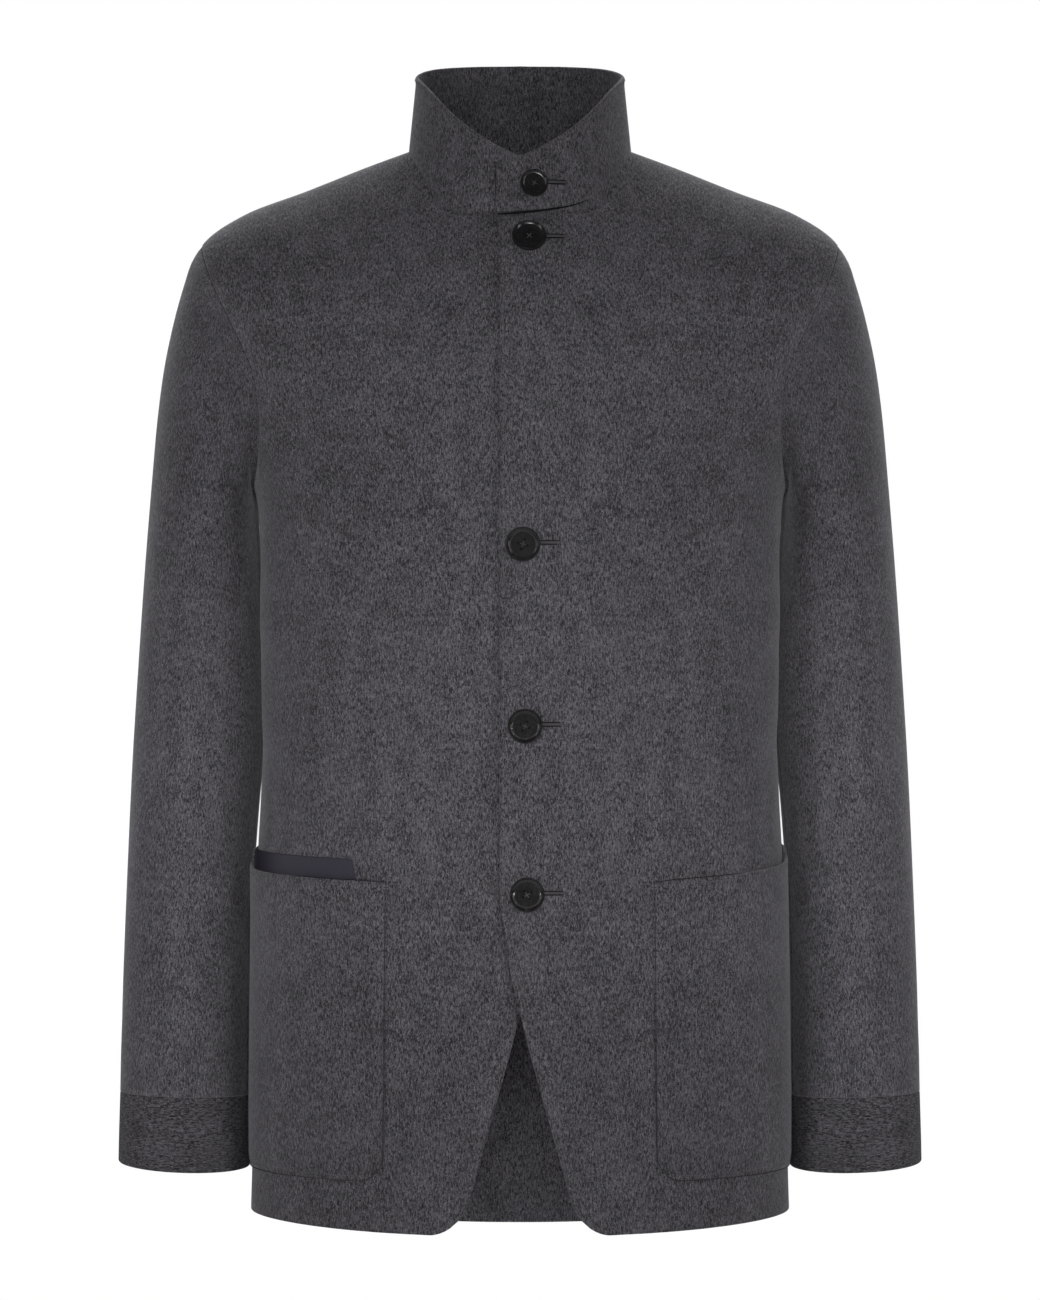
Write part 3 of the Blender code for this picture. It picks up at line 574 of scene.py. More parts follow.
SIDES = (("left", 1), ("right", -1))
FRONT_COLUMNS = 58
FRONT_OVERLAP = 0.014
SWEEP_START, SWEEP_SLOPE, SWEEP_EASE = -0.495, 0.335, 0.097
HEM_CORNER = 0.021
SEAM_GAP = 0.0003
WRAP_LIFT = CLOTH + 2 * SEAM_GAP
WRAP_FLAT, WRAP_END = 0.018, 0.080
NECK_SLIT, NECK_SLIT_LENGTH, NECK_SLIT_REACH = 0.0030, 0.070, 0.014
NECK_CORNER, NECK_CORNER_LENGTH = 0.0030, 0.0075
EDGE_ROLL, EDGE_ROLL_AT, EDGE_ROLL_WIDTH = 0.0008, 0.0022, 0.0024
LAP_TROUGH, LAP_TROUGH_WIDTH = 0.0021, 0.0042
NeckLine = namedtuple("NeckLine", "x rise")
NECK_LINE = rows_of(
    NeckLine,
    (-0.0200, -0.0020),
    (-0.0130, -0.0018),
    (0.0100, -0.0004),
    (0.0300, 0.0012),
    (0.0500, 0.0022),
    (0.0660, 0.0014),
    (0.0780, 0.0),
)


def angle_at(x, level):
    """Degrees round the body's form at a distance from the centre front."""
    ring = read_table(TORSO, level)
    half_width, squareness = ring[..., 3], ring[..., 6]
    sine = np.minimum(1.0, (np.abs(x) / half_width) ** (squareness / 2))
    return np.copysign(np.degrees(np.arcsin(sine)), x)


def front_edge_x(level):
    """Distance of the front edge from the centre, negative where it laps over to the other side."""
    fall = np.maximum(0.0, SWEEP_START - level)
    edge = -FRONT_OVERLAP + SWEEP_SLOPE * (np.hypot(fall, SWEEP_EASE) - SWEEP_EASE)
    up = np.minimum(level - HEM, HEM_CORNER)
    return edge + HEM_CORNER - np.sqrt(HEM_CORNER**2 - (HEM_CORNER - up) ** 2)


def wrap_lift(inwards):
    """How far the upper layer of the closing stands off the under one, fading out away from the edge."""
    return WRAP_LIFT * (1 - smooth_step((inwards - WRAP_FLAT) / (WRAP_END - WRAP_FLAT)))


def front_point(side, angle, level, lifted):
    """(points, rough normals) of a front's outer face, by degrees from the centre and level."""
    points, out = torso_point(side * angle, level), torso_normal(side * angle, level)
    lift = crease_relief(TORSO_CREASES, TORSO_GIRTH, side * angle, level)
    if lifted:
        lift = lift + wrap_lift(side * points[..., 0])
    return points + out * lift[..., None], out


def neck_rise(x):
    """How far the over lap's neck seam rises, or drops, from its even curve."""
    return read_table(NECK_LINE, np.clip(x, NECK_LINE[0].x, NECK_LINE[-1].x))[..., 0]


def edge_roll(distance):
    """Height of the soft roll that a turned and pressed edge has."""
    return EDGE_ROLL * np.exp(-(((distance - EDGE_ROLL_AT) / EDGE_ROLL_WIDTH) ** 2))


front_rows = body_rows(ARMHOLE_FRONT_BITE)
front_edge = front_edge_x(front_rows[0])
front_start = angle_at(front_edge, front_rows[0])
front_angle, front_level = panel_places(front_rows, front_start, FRONT_COLUMNS, free_start=True)
front_grid = {}
for label, side in SIDES:
    points, out = front_point(side, front_angle, front_level, lifted=side > 0)
    points += out * edge_roll(along_rows(points))[..., None]
    if side > 0:
        from_edge = points[..., 0] + FRONT_OVERLAP
        drop = NECK_SLIT * smooth_step(1 - from_edge / NECK_SLIT_LENGTH)
        drop = drop + NECK_CORNER * np.clip(1 - from_edge / NECK_CORNER_LENGTH, 0, 1) ** 2
        near_neck = smooth_step(1 - (NECK - front_level) / NECK_SLIT_REACH)
        points[..., 2] += (neck_rise(points[..., 0]) - drop) * near_neck
    else:
        beside_lap = (points[..., 0] - front_edge_x(front_level)) / LAP_TROUGH_WIDTH
        points -= out * (LAP_TROUGH * np.exp(-(beside_lap**2)))[..., None]
    off_hem = smooth_step((front_level - HEM) / HEM_CORNER)[..., None]
    normals = unit(grid_normals(points, out) * off_hem + out * (1 - off_hem))
    front_grid[side] = points, normals
    front_cloth = body_panel(
        f"front_{label}_cloth",
        points,
        normals,
        body_grain(points, front_edge, front_level, side),
        (FREE_EDGE, NECK_EDGE, FREE_EDGE, SEWN_EDGE),
        front_level,
        side * front_angle[-1],
        [(-1, side, STEP_TURN * front_rows[3][beside], beside)],
    )
    sew_in(front_cloth, WOOL, [f"front_{label}"])
    paint_inside_paler(front_cloth)


# Sleeves: two-piece sleeves of the same wool, an upper piece and a narrower under piece. They are sewn into
# the armholes and hang from them with soft creases at the bend of the arm.

FRONT_SEAM_TURN, BACK_SEAM_TURN = 15.0, 255.0
SLEEVE_GIRTH = 0.055
LAST_RING = 13
UPPER_COLUMNS, UNDER_COLUMNS, SEAM_BAND_TURN = 56, 30, 4
# Creases by degrees from the underarm round by the front, and by distance down from the armhole
SLEEVE_CREASES = rows_of(
    Crease,
    (-15, -0.008, 115, -0.008, 0.007, -0.0042),
    (48, -0.050, 128, -0.105, 0.017, -0.0018),
    (40, -0.118, 105, -0.165, 0.015, -0.0022),
    (58, -0.205, 150, -0.258, 0.020, -0.0024),
    (45, -0.262, 118, -0.292, 0.016, -0.0020),
    (70, -0.352, 160, -0.392, 0.021, -0.0017),
    (52, -0.452, 140, -0.470, 0.018, -0.0014),
    (85, -0.310, 170, -0.330, 0.024, 0.0016),
    (215, -0.190, 310, -0.236, 0.017, -0.0034),
    (205, -0.262, 325, -0.268, 0.015, -0.0042),
    (218, -0.318, 318, -0.300, 0.016, -0.0036),
    (225, -0.392, 300, -0.360, 0.019, -0.0024),
    (220, -0.080, 300, -0.128, 0.019, -0.0026),
    (175, -0.490, 250, -0.455, 0.021, -0.0018),
)


def sleeve_rings(side):
    """Ring places down the sleeve, evenly spaced on its outer side, and their distances from the armhole."""
    dense = np.linspace(0, LAST_RING, 521)
    turns = np.arange(0, 360, 30.0)
    points = sleeve_point(side, *np.meshgrid(dense, turns, indexing="ij"))
    gone = along_rows(points.swapaxes(0, 1)).mean(axis=0)
    full = gone[-1]
    wanted = close_at_edges(np.arange(EDGE_BAND, full - EDGE_BAND, CELL), full)
    return np.interp(wanted, gone, dense), wanted


def sleeve_grain(side, ring, turn, points):
    """Places on a sleeve's flat cloth: round its axis, and down from the shoulder's height."""
    rings = read_table((armhole_ring(side), *SLEEVE), ring)
    outer_x, _, inner_x, _, half_depth, mid_y = np.moveaxis(rings, -1, 0)[:6]
    inwards = (outer_x + inner_x - 2 * side * points[..., 0]) / (outer_x - inner_x)
    seen_turn = np.degrees(np.arctan2((mid_y - points[..., 1]) / half_depth, inwards))
    round_axis = turn + np.mod(seen_turn - turn + 180, 360) - 180
    down = along_columns(points)
    return np.stack((np.radians(round_axis) * SLEEVE_GIRTH, points[:1, :, 2] - down), axis=2)


def sleeve_piece(name, side, first_turn, last_turn, columns):
    """One cut piece of the sleeve, from one lengthwise seam to the other."""
    rings, distance = sleeve_rings(side)
    edge = EDGE_STEPS / SLEEVE_GIRTH * 180 / math.pi
    inside = np.linspace(first_turn + SEAM_BAND_TURN, last_turn - SEAM_BAND_TURN, columns)
    turns = np.concatenate((first_turn + edge, inside, last_turn - edge[::-1]))
    ring, turn = np.meshgrid(rings, turns, indexing="ij")
    down = -distance[:, None].repeat(len(turns), axis=1)
    points = sleeve_point(side, ring, turn)
    out = sleeve_point(side, ring, turn + 2) - sleeve_point(side, ring, turn - 2)
    out = unit(np.cross(np.gradient(points, axis=0), out)) * side
    points = points + out * crease_relief(SLEEVE_CREASES, SLEEVE_GIRTH, np.mod(turn, 360), down)[..., None]
    normals = grid_normals(points, out)
    offset = mitred(-normals * CLOTH / 2, -down, armhole_offset(side, turn))
    grain = sleeve_grain(side, ring, turn, points)
    return cloth_shell(name, points + offset, normals, grain, (ARMHOLE_EDGE, SEWN_EDGE, SEWN_EDGE, SEWN_EDGE))


for label, side in SIDES:
    upper = sleeve_piece(f"sleeve_upper_{label}_cloth", side, FRONT_SEAM_TURN, BACK_SEAM_TURN, UPPER_COLUMNS)
    sew_in(upper, WOOL, [f"sleeve_{part}_{label}" for part in ("cap", "arm", "forearm")])
    last_turn = FRONT_SEAM_TURN + 360
    under = sleeve_piece(f"sleeve_under_{label}_cloth", side, BACK_SEAM_TURN, last_turn, UNDER_COLUMNS)
    sew_in(under, WOOL, [f"sleeve_under_{label}"])


# Cuff bands: straight bands of the same wool with the grain turned crosswise, joined flush to the sleeve's
# end. Lying across the light, the brushed nap looks darker, and the cuffs' wool is painted darker for it:
# painted shade.

CUFF = SLEEVE[-1:] + rows_of(
    SleeveRing,
    (14, 0.2811, -0.6730, 0.1895, -0.6755, 0.0506, 0.013, 0.001, 0.0),
    (15, 0.2815, -0.6890, 0.1895, -0.6920, 0.0502, 0.012, 0.002, 0.0),
    (16, 0.2818, -0.7045, 0.1895, -0.7080, 0.0498, 0.012, 0.003, 0.0),
)
CUFF_DEPTH, CUFF_RINGS, CUFF_ROWS, CUFF_COLUMNS = 0.050, 3, 13, 96
CUFF_GIRTH = 0.25
# The same wool with darker colours: painted shade for the nap lying across the light.
CUFF_WOOL_PAINTED_DARKER = wool_material("cuff wool, painted darker", (0.0140, 0.0133, 0.0152), (0.155, 0.148, 0.1655), 0.10, turned=True)

for label, side in SIDES:
    shares = close_at_edges(np.linspace(0.07, 0.93, CUFF_ROWS), 1, EDGE_STEPS / CUFF_DEPTH)
    turns = np.linspace(0, 360, CUFF_COLUMNS + 1)[:-1]
    ring, turn = np.meshgrid(shares * CUFF_RINGS + LAST_RING, turns, indexing="ij")
    points = sleeve_outline(read_table(CUFF, ring), side, turn)
    around = np.roll(points, -1, axis=1) - np.roll(points, 1, axis=1)
    normals = unit(np.cross(np.gradient(points, axis=0), around)) * side
    grain = np.stack((turn * CUFF_GIRTH / 360, -(ring - LAST_RING) * CUFF_DEPTH / CUFF_RINGS), axis=2)
    cuff = cloth_shell(
        f"cuff_{label}_cloth",
        points - normals * CLOTH / 2,
        normals,
        grain,
        (SEWN_EDGE, FREE_EDGE),
        tube=True,
    )
    sew_in(cuff, CUFF_WOOL_PAINTED_DARKER, [f"cuff_{label}"])


# Collar: one stand band of the same wool round the neck seam. Its left end laps over the right one and is
# held by the small button; the top edge drops from the back to the front.

CollarEdge = namedtuple("CollarEdge", "angle top_z")
COLLAR = rows_of(
    CollarEdge,
    (-16.0, -0.0145),
    (0.0, -0.0075),
    (20.0, 0.0060),
    (40.0, 0.0235),
    (60.0, 0.0420),
    (75.0, 0.0505),
    (90.0, 0.0552),
    (102.0, 0.0589),
    (118.0, 0.0628),
    (150.0, 0.0670),
    (180.0, 0.0682),
)
COLLAR_OVERLAP, COLLAR_TAPER, COLLAR_BACK_LEAN = 0.0165, 0.0054, 0.0060
COLLAR_STAND_OFF, COLLAR_UNDER_END = 0.60, 300
COLLAR_DEPTH, COLLAR_BAND, COLLAR_ROWS, COLLAR_COLUMNS = 0.06, 0.003, 22, 150


def collar_point(angle, climbed):
    """Points of the collar, climbed from 0 at the neck seam to 1 at its top edge."""
    level = np.full_like(angle, NECK)
    base = torso_point(angle, level)
    lift = np.where(angle < SHOULDER_SEAM_ANGLE, wrap_lift(base[..., 0]), 0.0)
    sine, cosine = np.sin(np.radians(angle)), np.cos(np.radians(angle))
    outwards = np.stack((sine, -cosine, np.zeros_like(sine)), axis=-1)
    base = base + (torso_normal(angle, level) + outwards * COLLAR_STAND_OFF) * lift[..., None]
    lean = (COLLAR_TAPER + COLLAR_BACK_LEAN * np.maximum(0.0, -cosine)) * climbed
    foot = base[..., 2] + np.where(angle < SHOULDER_SEAM_ANGLE, neck_rise(base[..., 0]), 0.0)
    top = read_table(COLLAR, np.minimum(angle, 360.0 - angle))[..., 0]
    x, y = base[..., 0] - sine * lean, base[..., 1] + cosine * lean
    return np.stack((x, y, foot + (top - foot) * climbed), axis=-1)


neck_level = np.array(NECK)
first_angle, last_angle = angle_at(-COLLAR_OVERLAP, neck_level), 360 - angle_at(-FRONT_OVERLAP, neck_level)
dense = np.linspace(first_angle, last_angle, 721)
gone = along_rows(collar_point(dense, np.zeros_like(dense))[None])[0]
wanted = close_at_edges(np.linspace(COLLAR_BAND, gone[-1] - COLLAR_BAND, COLLAR_COLUMNS), gone[-1])
collar_angles = np.interp(wanted, gone, dense)
climbs = close_at_edges(np.linspace(0.05, 0.95, COLLAR_ROWS), 1, EDGE_STEPS / COLLAR_DEPTH)
angle, climbed = np.broadcast_arrays(collar_angles[None], climbs[:, None])
collar_points = collar_point(angle, climbed)
collar_out = grid_normals(collar_points, torso_point(angle, np.full_like(angle, NECK)) * (1, 1, 0))
collar_up = along_columns(collar_points)
collar_roll = edge_roll(collar_up[-1:] - collar_up) + edge_roll(along_rows(collar_points))
beside_lap = (collar_points[..., 0] + COLLAR_OVERLAP) / LAP_TROUGH_WIDTH
collar_roll -= LAP_TROUGH * np.exp(-(beside_lap**2)) * (angle > COLLAR_UNDER_END)
collar_points += collar_out * collar_roll[..., None]
collar_out = grid_normals(collar_points, collar_out)
collar_offset = mitred(-collar_out * CLOTH / 2, collar_up, neck_offset(angle))
collar_cloth = cloth_shell(
    "collar_cloth",
    collar_points + collar_offset,
    collar_out,
    np.stack((np.broadcast_to(wanted, angle.shape), collar_points[..., 2]), axis=2),
    (NECK_EDGE, FREE_EDGE, FREE_EDGE, FREE_EDGE),
)
sew_in(collar_cloth, WOOL, ["collar"])


# Patch pockets: a piece of the same wool on each front, sewn on down both sides and along the bottom with
# round corners. The mouth is open at the top, and the wearer's right one sags forward.

POCKET_BOTTOM, POCKET_CORNER, POCKET_MOUTH = -0.705, 0.017, -0.504
POCKET_ANGLES = (26.0, 27.6, 31.2, 42.0, 54.0, 66.0, 78.0, 87.0, 94.0)
POCKET_STAND = (0.0, 0.35, 0.75, 1.0, 1.0, 1.0, 0.9, 0.7, 0.0)
MOUTH_CURVE, GAPE_DEPTH, POCKET_RISE = 1.6, 0.040, 0.050
END_RISE_START, END_RISE_SPAN = 0.84, 0.16
POCKET_DEPTH, PATCH_BAND, POCKET_ROWS, POCKET_COLUMNS = 0.2, 0.003, 48, 46
PRESSED_EDGE, PRESSED_REACH = 0.0011, 0.009
Pocket = namedtuple("Pocket", "label side mouth_end end_rise stand_off gape")
POCKETS = rows_of(
    Pocket,
    ("left", 1, -0.4880, 0.0060, 0.0010, 0.0008),
    ("right", -1, -0.4945, 0.0110, 0.0012, 0.0028),
)


def patch_shell(name, side, angle, level, clear, thickness, edges):
    """A patch on a front's face, made from the front's own points and moved out."""
    points, out = front_point(side, angle, level, lifted=side > 0)
    out = grid_normals(points, out)
    middle = points + out * (clear + thickness / 2)[..., None]
    out = grid_normals(middle, out)
    grain = body_grain(points, side * points[:, 0, 0], level, side)
    shell = cloth_shell(name, middle, out, grain, edges, thickness)
    return shell, middle + out * (thickness / 2)[..., None], out


def patch_angles(first, last, columns):
    """Columns across a patch, close together along its two side edges."""
    dense = np.linspace(first, last, 400)
    points = torso_point(dense, np.full_like(dense, POCKET_MOUTH))[None]
    gone = along_rows(points)[0]
    wanted = close_at_edges(np.linspace(PATCH_BAND, gone[-1] - PATCH_BAND, columns), gone[-1])
    return np.interp(wanted, gone, dense), wanted


pocket_angles, pocket_across = patch_angles(POCKET_ANGLES[0], POCKET_ANGLES[-1], POCKET_COLUMNS)
pocket_column = np.interp(pocket_angles, POCKET_ANGLES, np.arange(len(POCKET_ANGLES)))
pocket_stand = np.interp(pocket_column, np.arange(len(POCKET_STAND)), POCKET_STAND)
near_side = np.minimum(pocket_across, pocket_across[-1] - pocket_across)
corner = 1 - np.clip(near_side / POCKET_CORNER, 0, 1)
pocket_floor = POCKET_BOTTOM + POCKET_CORNER * (1 - np.sqrt(1 - corner**2))
pocket_climb = close_at_edges(np.linspace(0.016, 0.984, POCKET_ROWS), 1, EDGE_STEPS / POCKET_DEPTH)
pocket_grid = {}
for pocket in POCKETS:
    across = pocket_column / (len(POCKET_ANGLES) - 1)
    mouth = POCKET_MOUTH + (pocket.mouth_end - POCKET_MOUTH) * across**MOUTH_CURVE
    mouth = mouth + pocket.end_rise * smooth_step((across - END_RISE_START) / END_RISE_SPAN)
    level = pocket_floor + (mouth - pocket_floor) * pocket_climb[:, None]
    gape = pocket.gape * np.exp((level - mouth) / GAPE_DEPTH)
    filled = smooth_step((level - pocket_floor) / POCKET_RISE)
    clear = SEAM_GAP + (pocket.stand_off + gape) * pocket_stand * filled
    angle = np.broadcast_to(pocket_angles, level.shape)
    from_sewn = np.minimum(level - pocket_floor, near_side)
    thick = PRESSED_EDGE + (CLOTH - PRESSED_EDGE) * smooth_step(from_sewn / PRESSED_REACH)
    edges = (PRESSED_EDGE / 2, FREE_EDGE, PRESSED_EDGE / 2, PRESSED_EDGE / 2)
    pocket_cloth, *pocket_grid[pocket.label] = patch_shell(
        f"pocket_{pocket.label}_cloth", pocket.side, angle, level, clear, thick, edges
    )
    sew_in(pocket_cloth, WOOL, [f"pocket_{pocket.label}"])


# Lining at the right pocket's mouth: a strip of smooth, dark, closely woven lining that faces the front
# behind the mouth, and shows above it where the pocket sags.

LINING = 0.0010
STRIP_ANGLES = (33.6, 87.0)
STRIP_BOTTOM, STRIP_TOP_INNER, STRIP_TOP_OUTER = -0.524, -0.4885, -0.4845
STRIP_SLANT, STRIP_PIVOT = 3.6, 0.6
STRIP_DEPTH, STRIP_ROWS, STRIP_COLUMNS = 0.04, 14, 30


def mixed_colour(nodes, links, factor, dark, light):
    """Mixes a finish's colour from a dark and a light one."""
    shade = nodes.new("ShaderNodeMix")
    shade.data_type = "RGBA"
    fill_in(shade, {6: (*dark, 1.0), 7: (*light, 1.0)})
    links.new(factor, shade.inputs["Factor"])
    links.new(shade.outputs[2], nodes["Principled BSDF"].inputs["Base Color"])


def lining_material():
    """Smooth twill lining: fine slanting lines and a soft gloss."""
    made, nodes, links, shader = new_finish("pocket lining")
    place = nodes.new("ShaderNodeUVMap")
    place.uv_map = "cloth"
    lines = nodes.new("ShaderNodeTexWave")
    lines.wave_type = "BANDS"
    lines.bands_direction = "DIAGONAL"
    fill_in(lines, {"Scale": 700.0, "Distortion": 0.6})
    links.new(place.outputs["UV"], lines.inputs["Vector"])
    mixed_colour(nodes, links, lines.outputs["Fac"], (0.026, 0.0238, 0.036), (0.042, 0.0385, 0.055))
    raised(nodes, links, lines.outputs["Fac"], 0.2, 0.0001)
    fill_in(shader, {"Roughness": 0.6, "Specular IOR Level": 0.3})
    return made


strip_angles, strip_across = patch_angles(*STRIP_ANGLES, STRIP_COLUMNS)
strip_climb = close_at_edges(np.linspace(0.06, 0.94, STRIP_ROWS), 1, EDGE_STEPS / STRIP_DEPTH)
strip_top = STRIP_TOP_INNER + (STRIP_TOP_OUTER - STRIP_TOP_INNER) * strip_across / strip_across[-1]
level = STRIP_BOTTOM + (strip_top - STRIP_BOTTOM) * strip_climb[:, None]
slanting = STRIP_SLANT * (1 - strip_across / strip_across[-1]) ** 2
angle = strip_angles + slanting * (strip_climb[:, None] - STRIP_PIVOT)
thick = np.full(level.shape, LINING)
lining_cloth, _, _ = patch_shell(
    "pocket_lining_cloth", -1, angle, level, np.full(level.shape, SEAM_GAP), thick, (LINING / 2,) * 4
)
sew_in(lining_cloth, lining_material(), ["pocket_lining"])


# Buttons: five four-hole buttons of dark polished horn-like plastic, turned with a dished face and a raised
# round rim, the one on the collar smaller. Each is sewn on through its holes with crossed thread. Near-black
# plugs of thread fill the holes: painted shade for the holes' depth.

BUTTON_RADIUS = 0.012
BUTTON_RIM, BUTTON_DISH, DISH_SHARE = 0.0043, 0.0024, 0.69
FOOT_SHARE, FLARE, RIM_DRAW, RIM_LAND = 0.8, 1.24, 0.955, 0.016
DISH_FALLS, DISH_STEP, DISH_FLOOR, FLOOR_SINK = (0.46, 0.30, 0.17, 0.07), 0.055, 0.30, 0.00025
EDGE_ROUND, ROUND_ANGLE, SHARP_ANGLE = 0.00022, 24, 40
HOLE_OFFSET, HOLE_RADIUS, DRILL_DEPTH = 0.00216, 0.00112, 0.02
THREAD_RADIUS, THREAD_REACH, THREAD_SINK = 0.00022, 0.78, 0.0004
THREAD_ARCH, CROSS_LIFT = 0.00062, 0.0003
SHANK_FOOT, SHANK_TOP, SHANK_FIT = 0.0004, 0.0019, 0.97
FRONT_Y = -0.05
HORN = ((0.42, (0.0085, 0.0080, 0.0090, 1.0)), (0.72, (0.021, 0.0195, 0.0205, 1.0)))
Button = namedtuple("Button", "name x z diameter turn")
BUTTONS = rows_of(
    Button,
    ("collar", 0.0096, -0.0270, 0.0195, 16.0),
    ("neck", 0.0062, -0.0650, 0.0240, 3.0),
    ("chest", 0.0020, -0.2750, 0.0240, 28.0),
    ("waist", 0.0034, -0.3980, 0.0240, 21.0),
    ("hip", 0.0048, -0.5120, 0.0240, -14.0),
)


def button_material(name, smooth, rough, gloss):
    """Dark horn: nearly black, with faint brown-grey veins, polished or satin."""
    made, nodes, links, shader = new_finish(name)
    place = nodes.new("ShaderNodeTexCoord")
    veins = nodes.new("ShaderNodeTexNoise")
    fill_in(veins, {"Scale": 190.0, "Detail": 4.0, "Distortion": 1.6})
    shade = nodes.new("ShaderNodeValToRGB")
    for stop, (position, colour) in zip(shade.color_ramp.elements, HORN):
        stop.position, stop.color = position, colour
    polish = nodes.new("ShaderNodeMapRange")
    fill_in(polish, {"To Min": smooth, "To Max": rough})
    links.new(place.outputs["Object"], veins.inputs["Vector"])
    links.new(veins.outputs["Fac"], shade.inputs["Fac"])
    links.new(shade.outputs["Color"], shader.inputs["Base Color"])
    links.new(veins.outputs["Fac"], polish.inputs["Value"])
    links.new(polish.outputs["Result"], shader.inputs["Roughness"])
    fill_in(shader, {"Specular IOR Level": gloss})
    return made


def select_faces(mesh, wanted):
    bpy.ops.mesh.select_all(action="DESELECT")
    bpy.ops.object.mode_set(mode="OBJECT")
    for face in mesh.polygons:
        face.select = wanted(face)
    bpy.ops.object.mode_set(mode="EDIT")


def turned_button():
    """The button as it comes off the lathe: dished face, round rim, four drilled holes."""
    bpy.ops.object.select_all(action="DESELECT")
    bpy.ops.mesh.primitive_cylinder_add(vertices=72, radius=BUTTON_RADIUS * FOOT_SHARE, depth=BUTTON_DISH)
    button = bpy.context.object
    bpy.ops.object.mode_set(mode="EDIT")
    bpy.ops.mesh.select_mode(type="FACE")
    bpy.ops.transform.translate(value=(0, 0, BUTTON_DISH / 2))
    select_faces(button.data, lambda face: face.normal.z > 0.9)
    bpy.ops.transform.resize(value=(FLARE, FLARE, 1))
    bpy.ops.mesh.extrude_region_move(TRANSFORM_OT_translate={"value": (0, 0, BUTTON_RIM - BUTTON_DISH)})
    bpy.ops.transform.resize(value=(RIM_DRAW, RIM_DRAW, 1))
    bpy.ops.mesh.inset(thickness=BUTTON_RADIUS * RIM_LAND, depth=0)
    for fall in DISH_FALLS:
        bpy.ops.mesh.inset(thickness=BUTTON_RADIUS * DISH_STEP, depth=0)
        bpy.ops.transform.translate(value=(0, 0, (BUTTON_DISH - BUTTON_RIM) * fall))
    bpy.ops.mesh.inset(thickness=BUTTON_RADIUS * DISH_FLOOR, depth=-FLOOR_SINK)
    bpy.ops.object.mode_set(mode="OBJECT")
    round_off = button.modifiers.new("round edges", "BEVEL")
    round_off.width, round_off.segments = EDGE_ROUND, 4
    round_off.limit_method = "ANGLE"
    round_off.angle_limit = math.radians(ROUND_ANGLE)
    bpy.ops.object.modifier_apply(modifier=round_off.name)
    for turn in (45, 135, 225, 315):
        way = Vector((math.cos(math.radians(turn)), math.sin(math.radians(turn)), 0))
        at = way * HOLE_OFFSET * math.sqrt(2)
        bpy.ops.object.select_all(action="DESELECT")
        bpy.ops.mesh.primitive_cylinder_add(vertices=24, radius=HOLE_RADIUS, depth=DRILL_DEPTH, location=at)
        drill = bpy.context.object
        bpy.context.view_layer.objects.active = button
        cut = button.modifiers.new("hole", "BOOLEAN")
        cut.object = drill
        cut.solver = "EXACT"
        bpy.ops.object.modifier_apply(modifier=cut.name)
        bpy.data.objects.remove(drill)
    button.data.shade_smooth()
    button.data.set_sharp_from_angle(angle=math.radians(SHARP_ANGLE))
    for face in button.data.polygons:
        face.material_index = int(face.center.xy.length < BUTTON_RADIUS * DISH_SHARE)
    return button


def on_cloth(points, normals, x, z):
    """(point, normal) of a front's or the collar's outer face at a place seen from the front."""
    near = np.argmin(np.hypot(points[..., 0] - x, points[..., 2] - z) + (points[..., 1] > FRONT_Y))
    at = np.unravel_index(near, points.shape[:2])
    here, out = points[at], normals[at]
    y = here[1] - ((x - here[0]) * out[0] + (z - here[2]) * out[2]) / out[1]
    return np.array((x, y, z)), out


def thread_material(name, dark, light):
    """Twisted cotton sewing thread, matt."""
    made, nodes, links, shader = new_finish(name)
    place = nodes.new("ShaderNodeTexCoord")
    twist = nodes.new("ShaderNodeTexNoise")
    fill_in(twist, {"Scale": 2600.0})
    links.new(place.outputs["Object"], twist.inputs["Vector"])
    mixed_colour(nodes, links, twist.outputs["Fac"], dark, light)
    fill_in(shader, {"Roughness": 0.85, "Specular IOR Level": 0.12})
    return made


def threads(name, strands, radius, sides=6):
    """Short lengths of thread as one mesh: each strand is a row of points, tapered at both ends."""
    upright, taper = 0.8, 0.93
    points, faces = [], []
    for strand in strands:
        strand = np.array(strand)
        run = unit(np.gradient(strand, axis=0))
        guide = np.array((0.0, 0.0, 1.0)) if abs(run[:, 2].mean()) < upright else np.array((1.0, 0.0, 0.0))
        aside = unit(np.cross(run, guide))
        up = np.cross(run, aside)
        turns = np.arange(sides) * 2 * math.pi / sides
        thick = radius * np.sqrt(np.clip(1 - np.linspace(-taper, taper, len(strand)) ** 4, 0, 1))
        first = len(points)
        for at, side_way, up_way, wide in zip(strand, aside, up, thick):
            ring = at + wide * (np.cos(turns)[:, None] * side_way + np.sin(turns)[:, None] * up_way)
            points.extend(ring.tolist())
        for ring in range(len(strand) - 1):
            base = first + ring * sides
            for k in range(sides):
                n = (k + 1) % sides
                faces.append((base + k, base + n, base + sides + n, base + sides + k))
        faces.append(tuple(range(first + sides - 1, first - 1, -1)))
        last = first + (len(strand) - 1) * sides
        faces.append(tuple(range(last, last + sides)))
    mesh = bpy.data.meshes.new(name)
    mesh.from_pydata(points, [], faces)
    mesh.shade_smooth()
    made = placed(name, mesh)
    bpy.ops.object.select_all(action="DESELECT")
    made.select_set(True)
    bpy.context.view_layer.objects.active = made
    bpy.ops.object.mode_set(mode="EDIT")
    bpy.ops.mesh.select_all(action="SELECT")
    bpy.ops.mesh.normals_make_consistent(inside=False)
    bpy.ops.object.mode_set(mode="OBJECT")
    return made


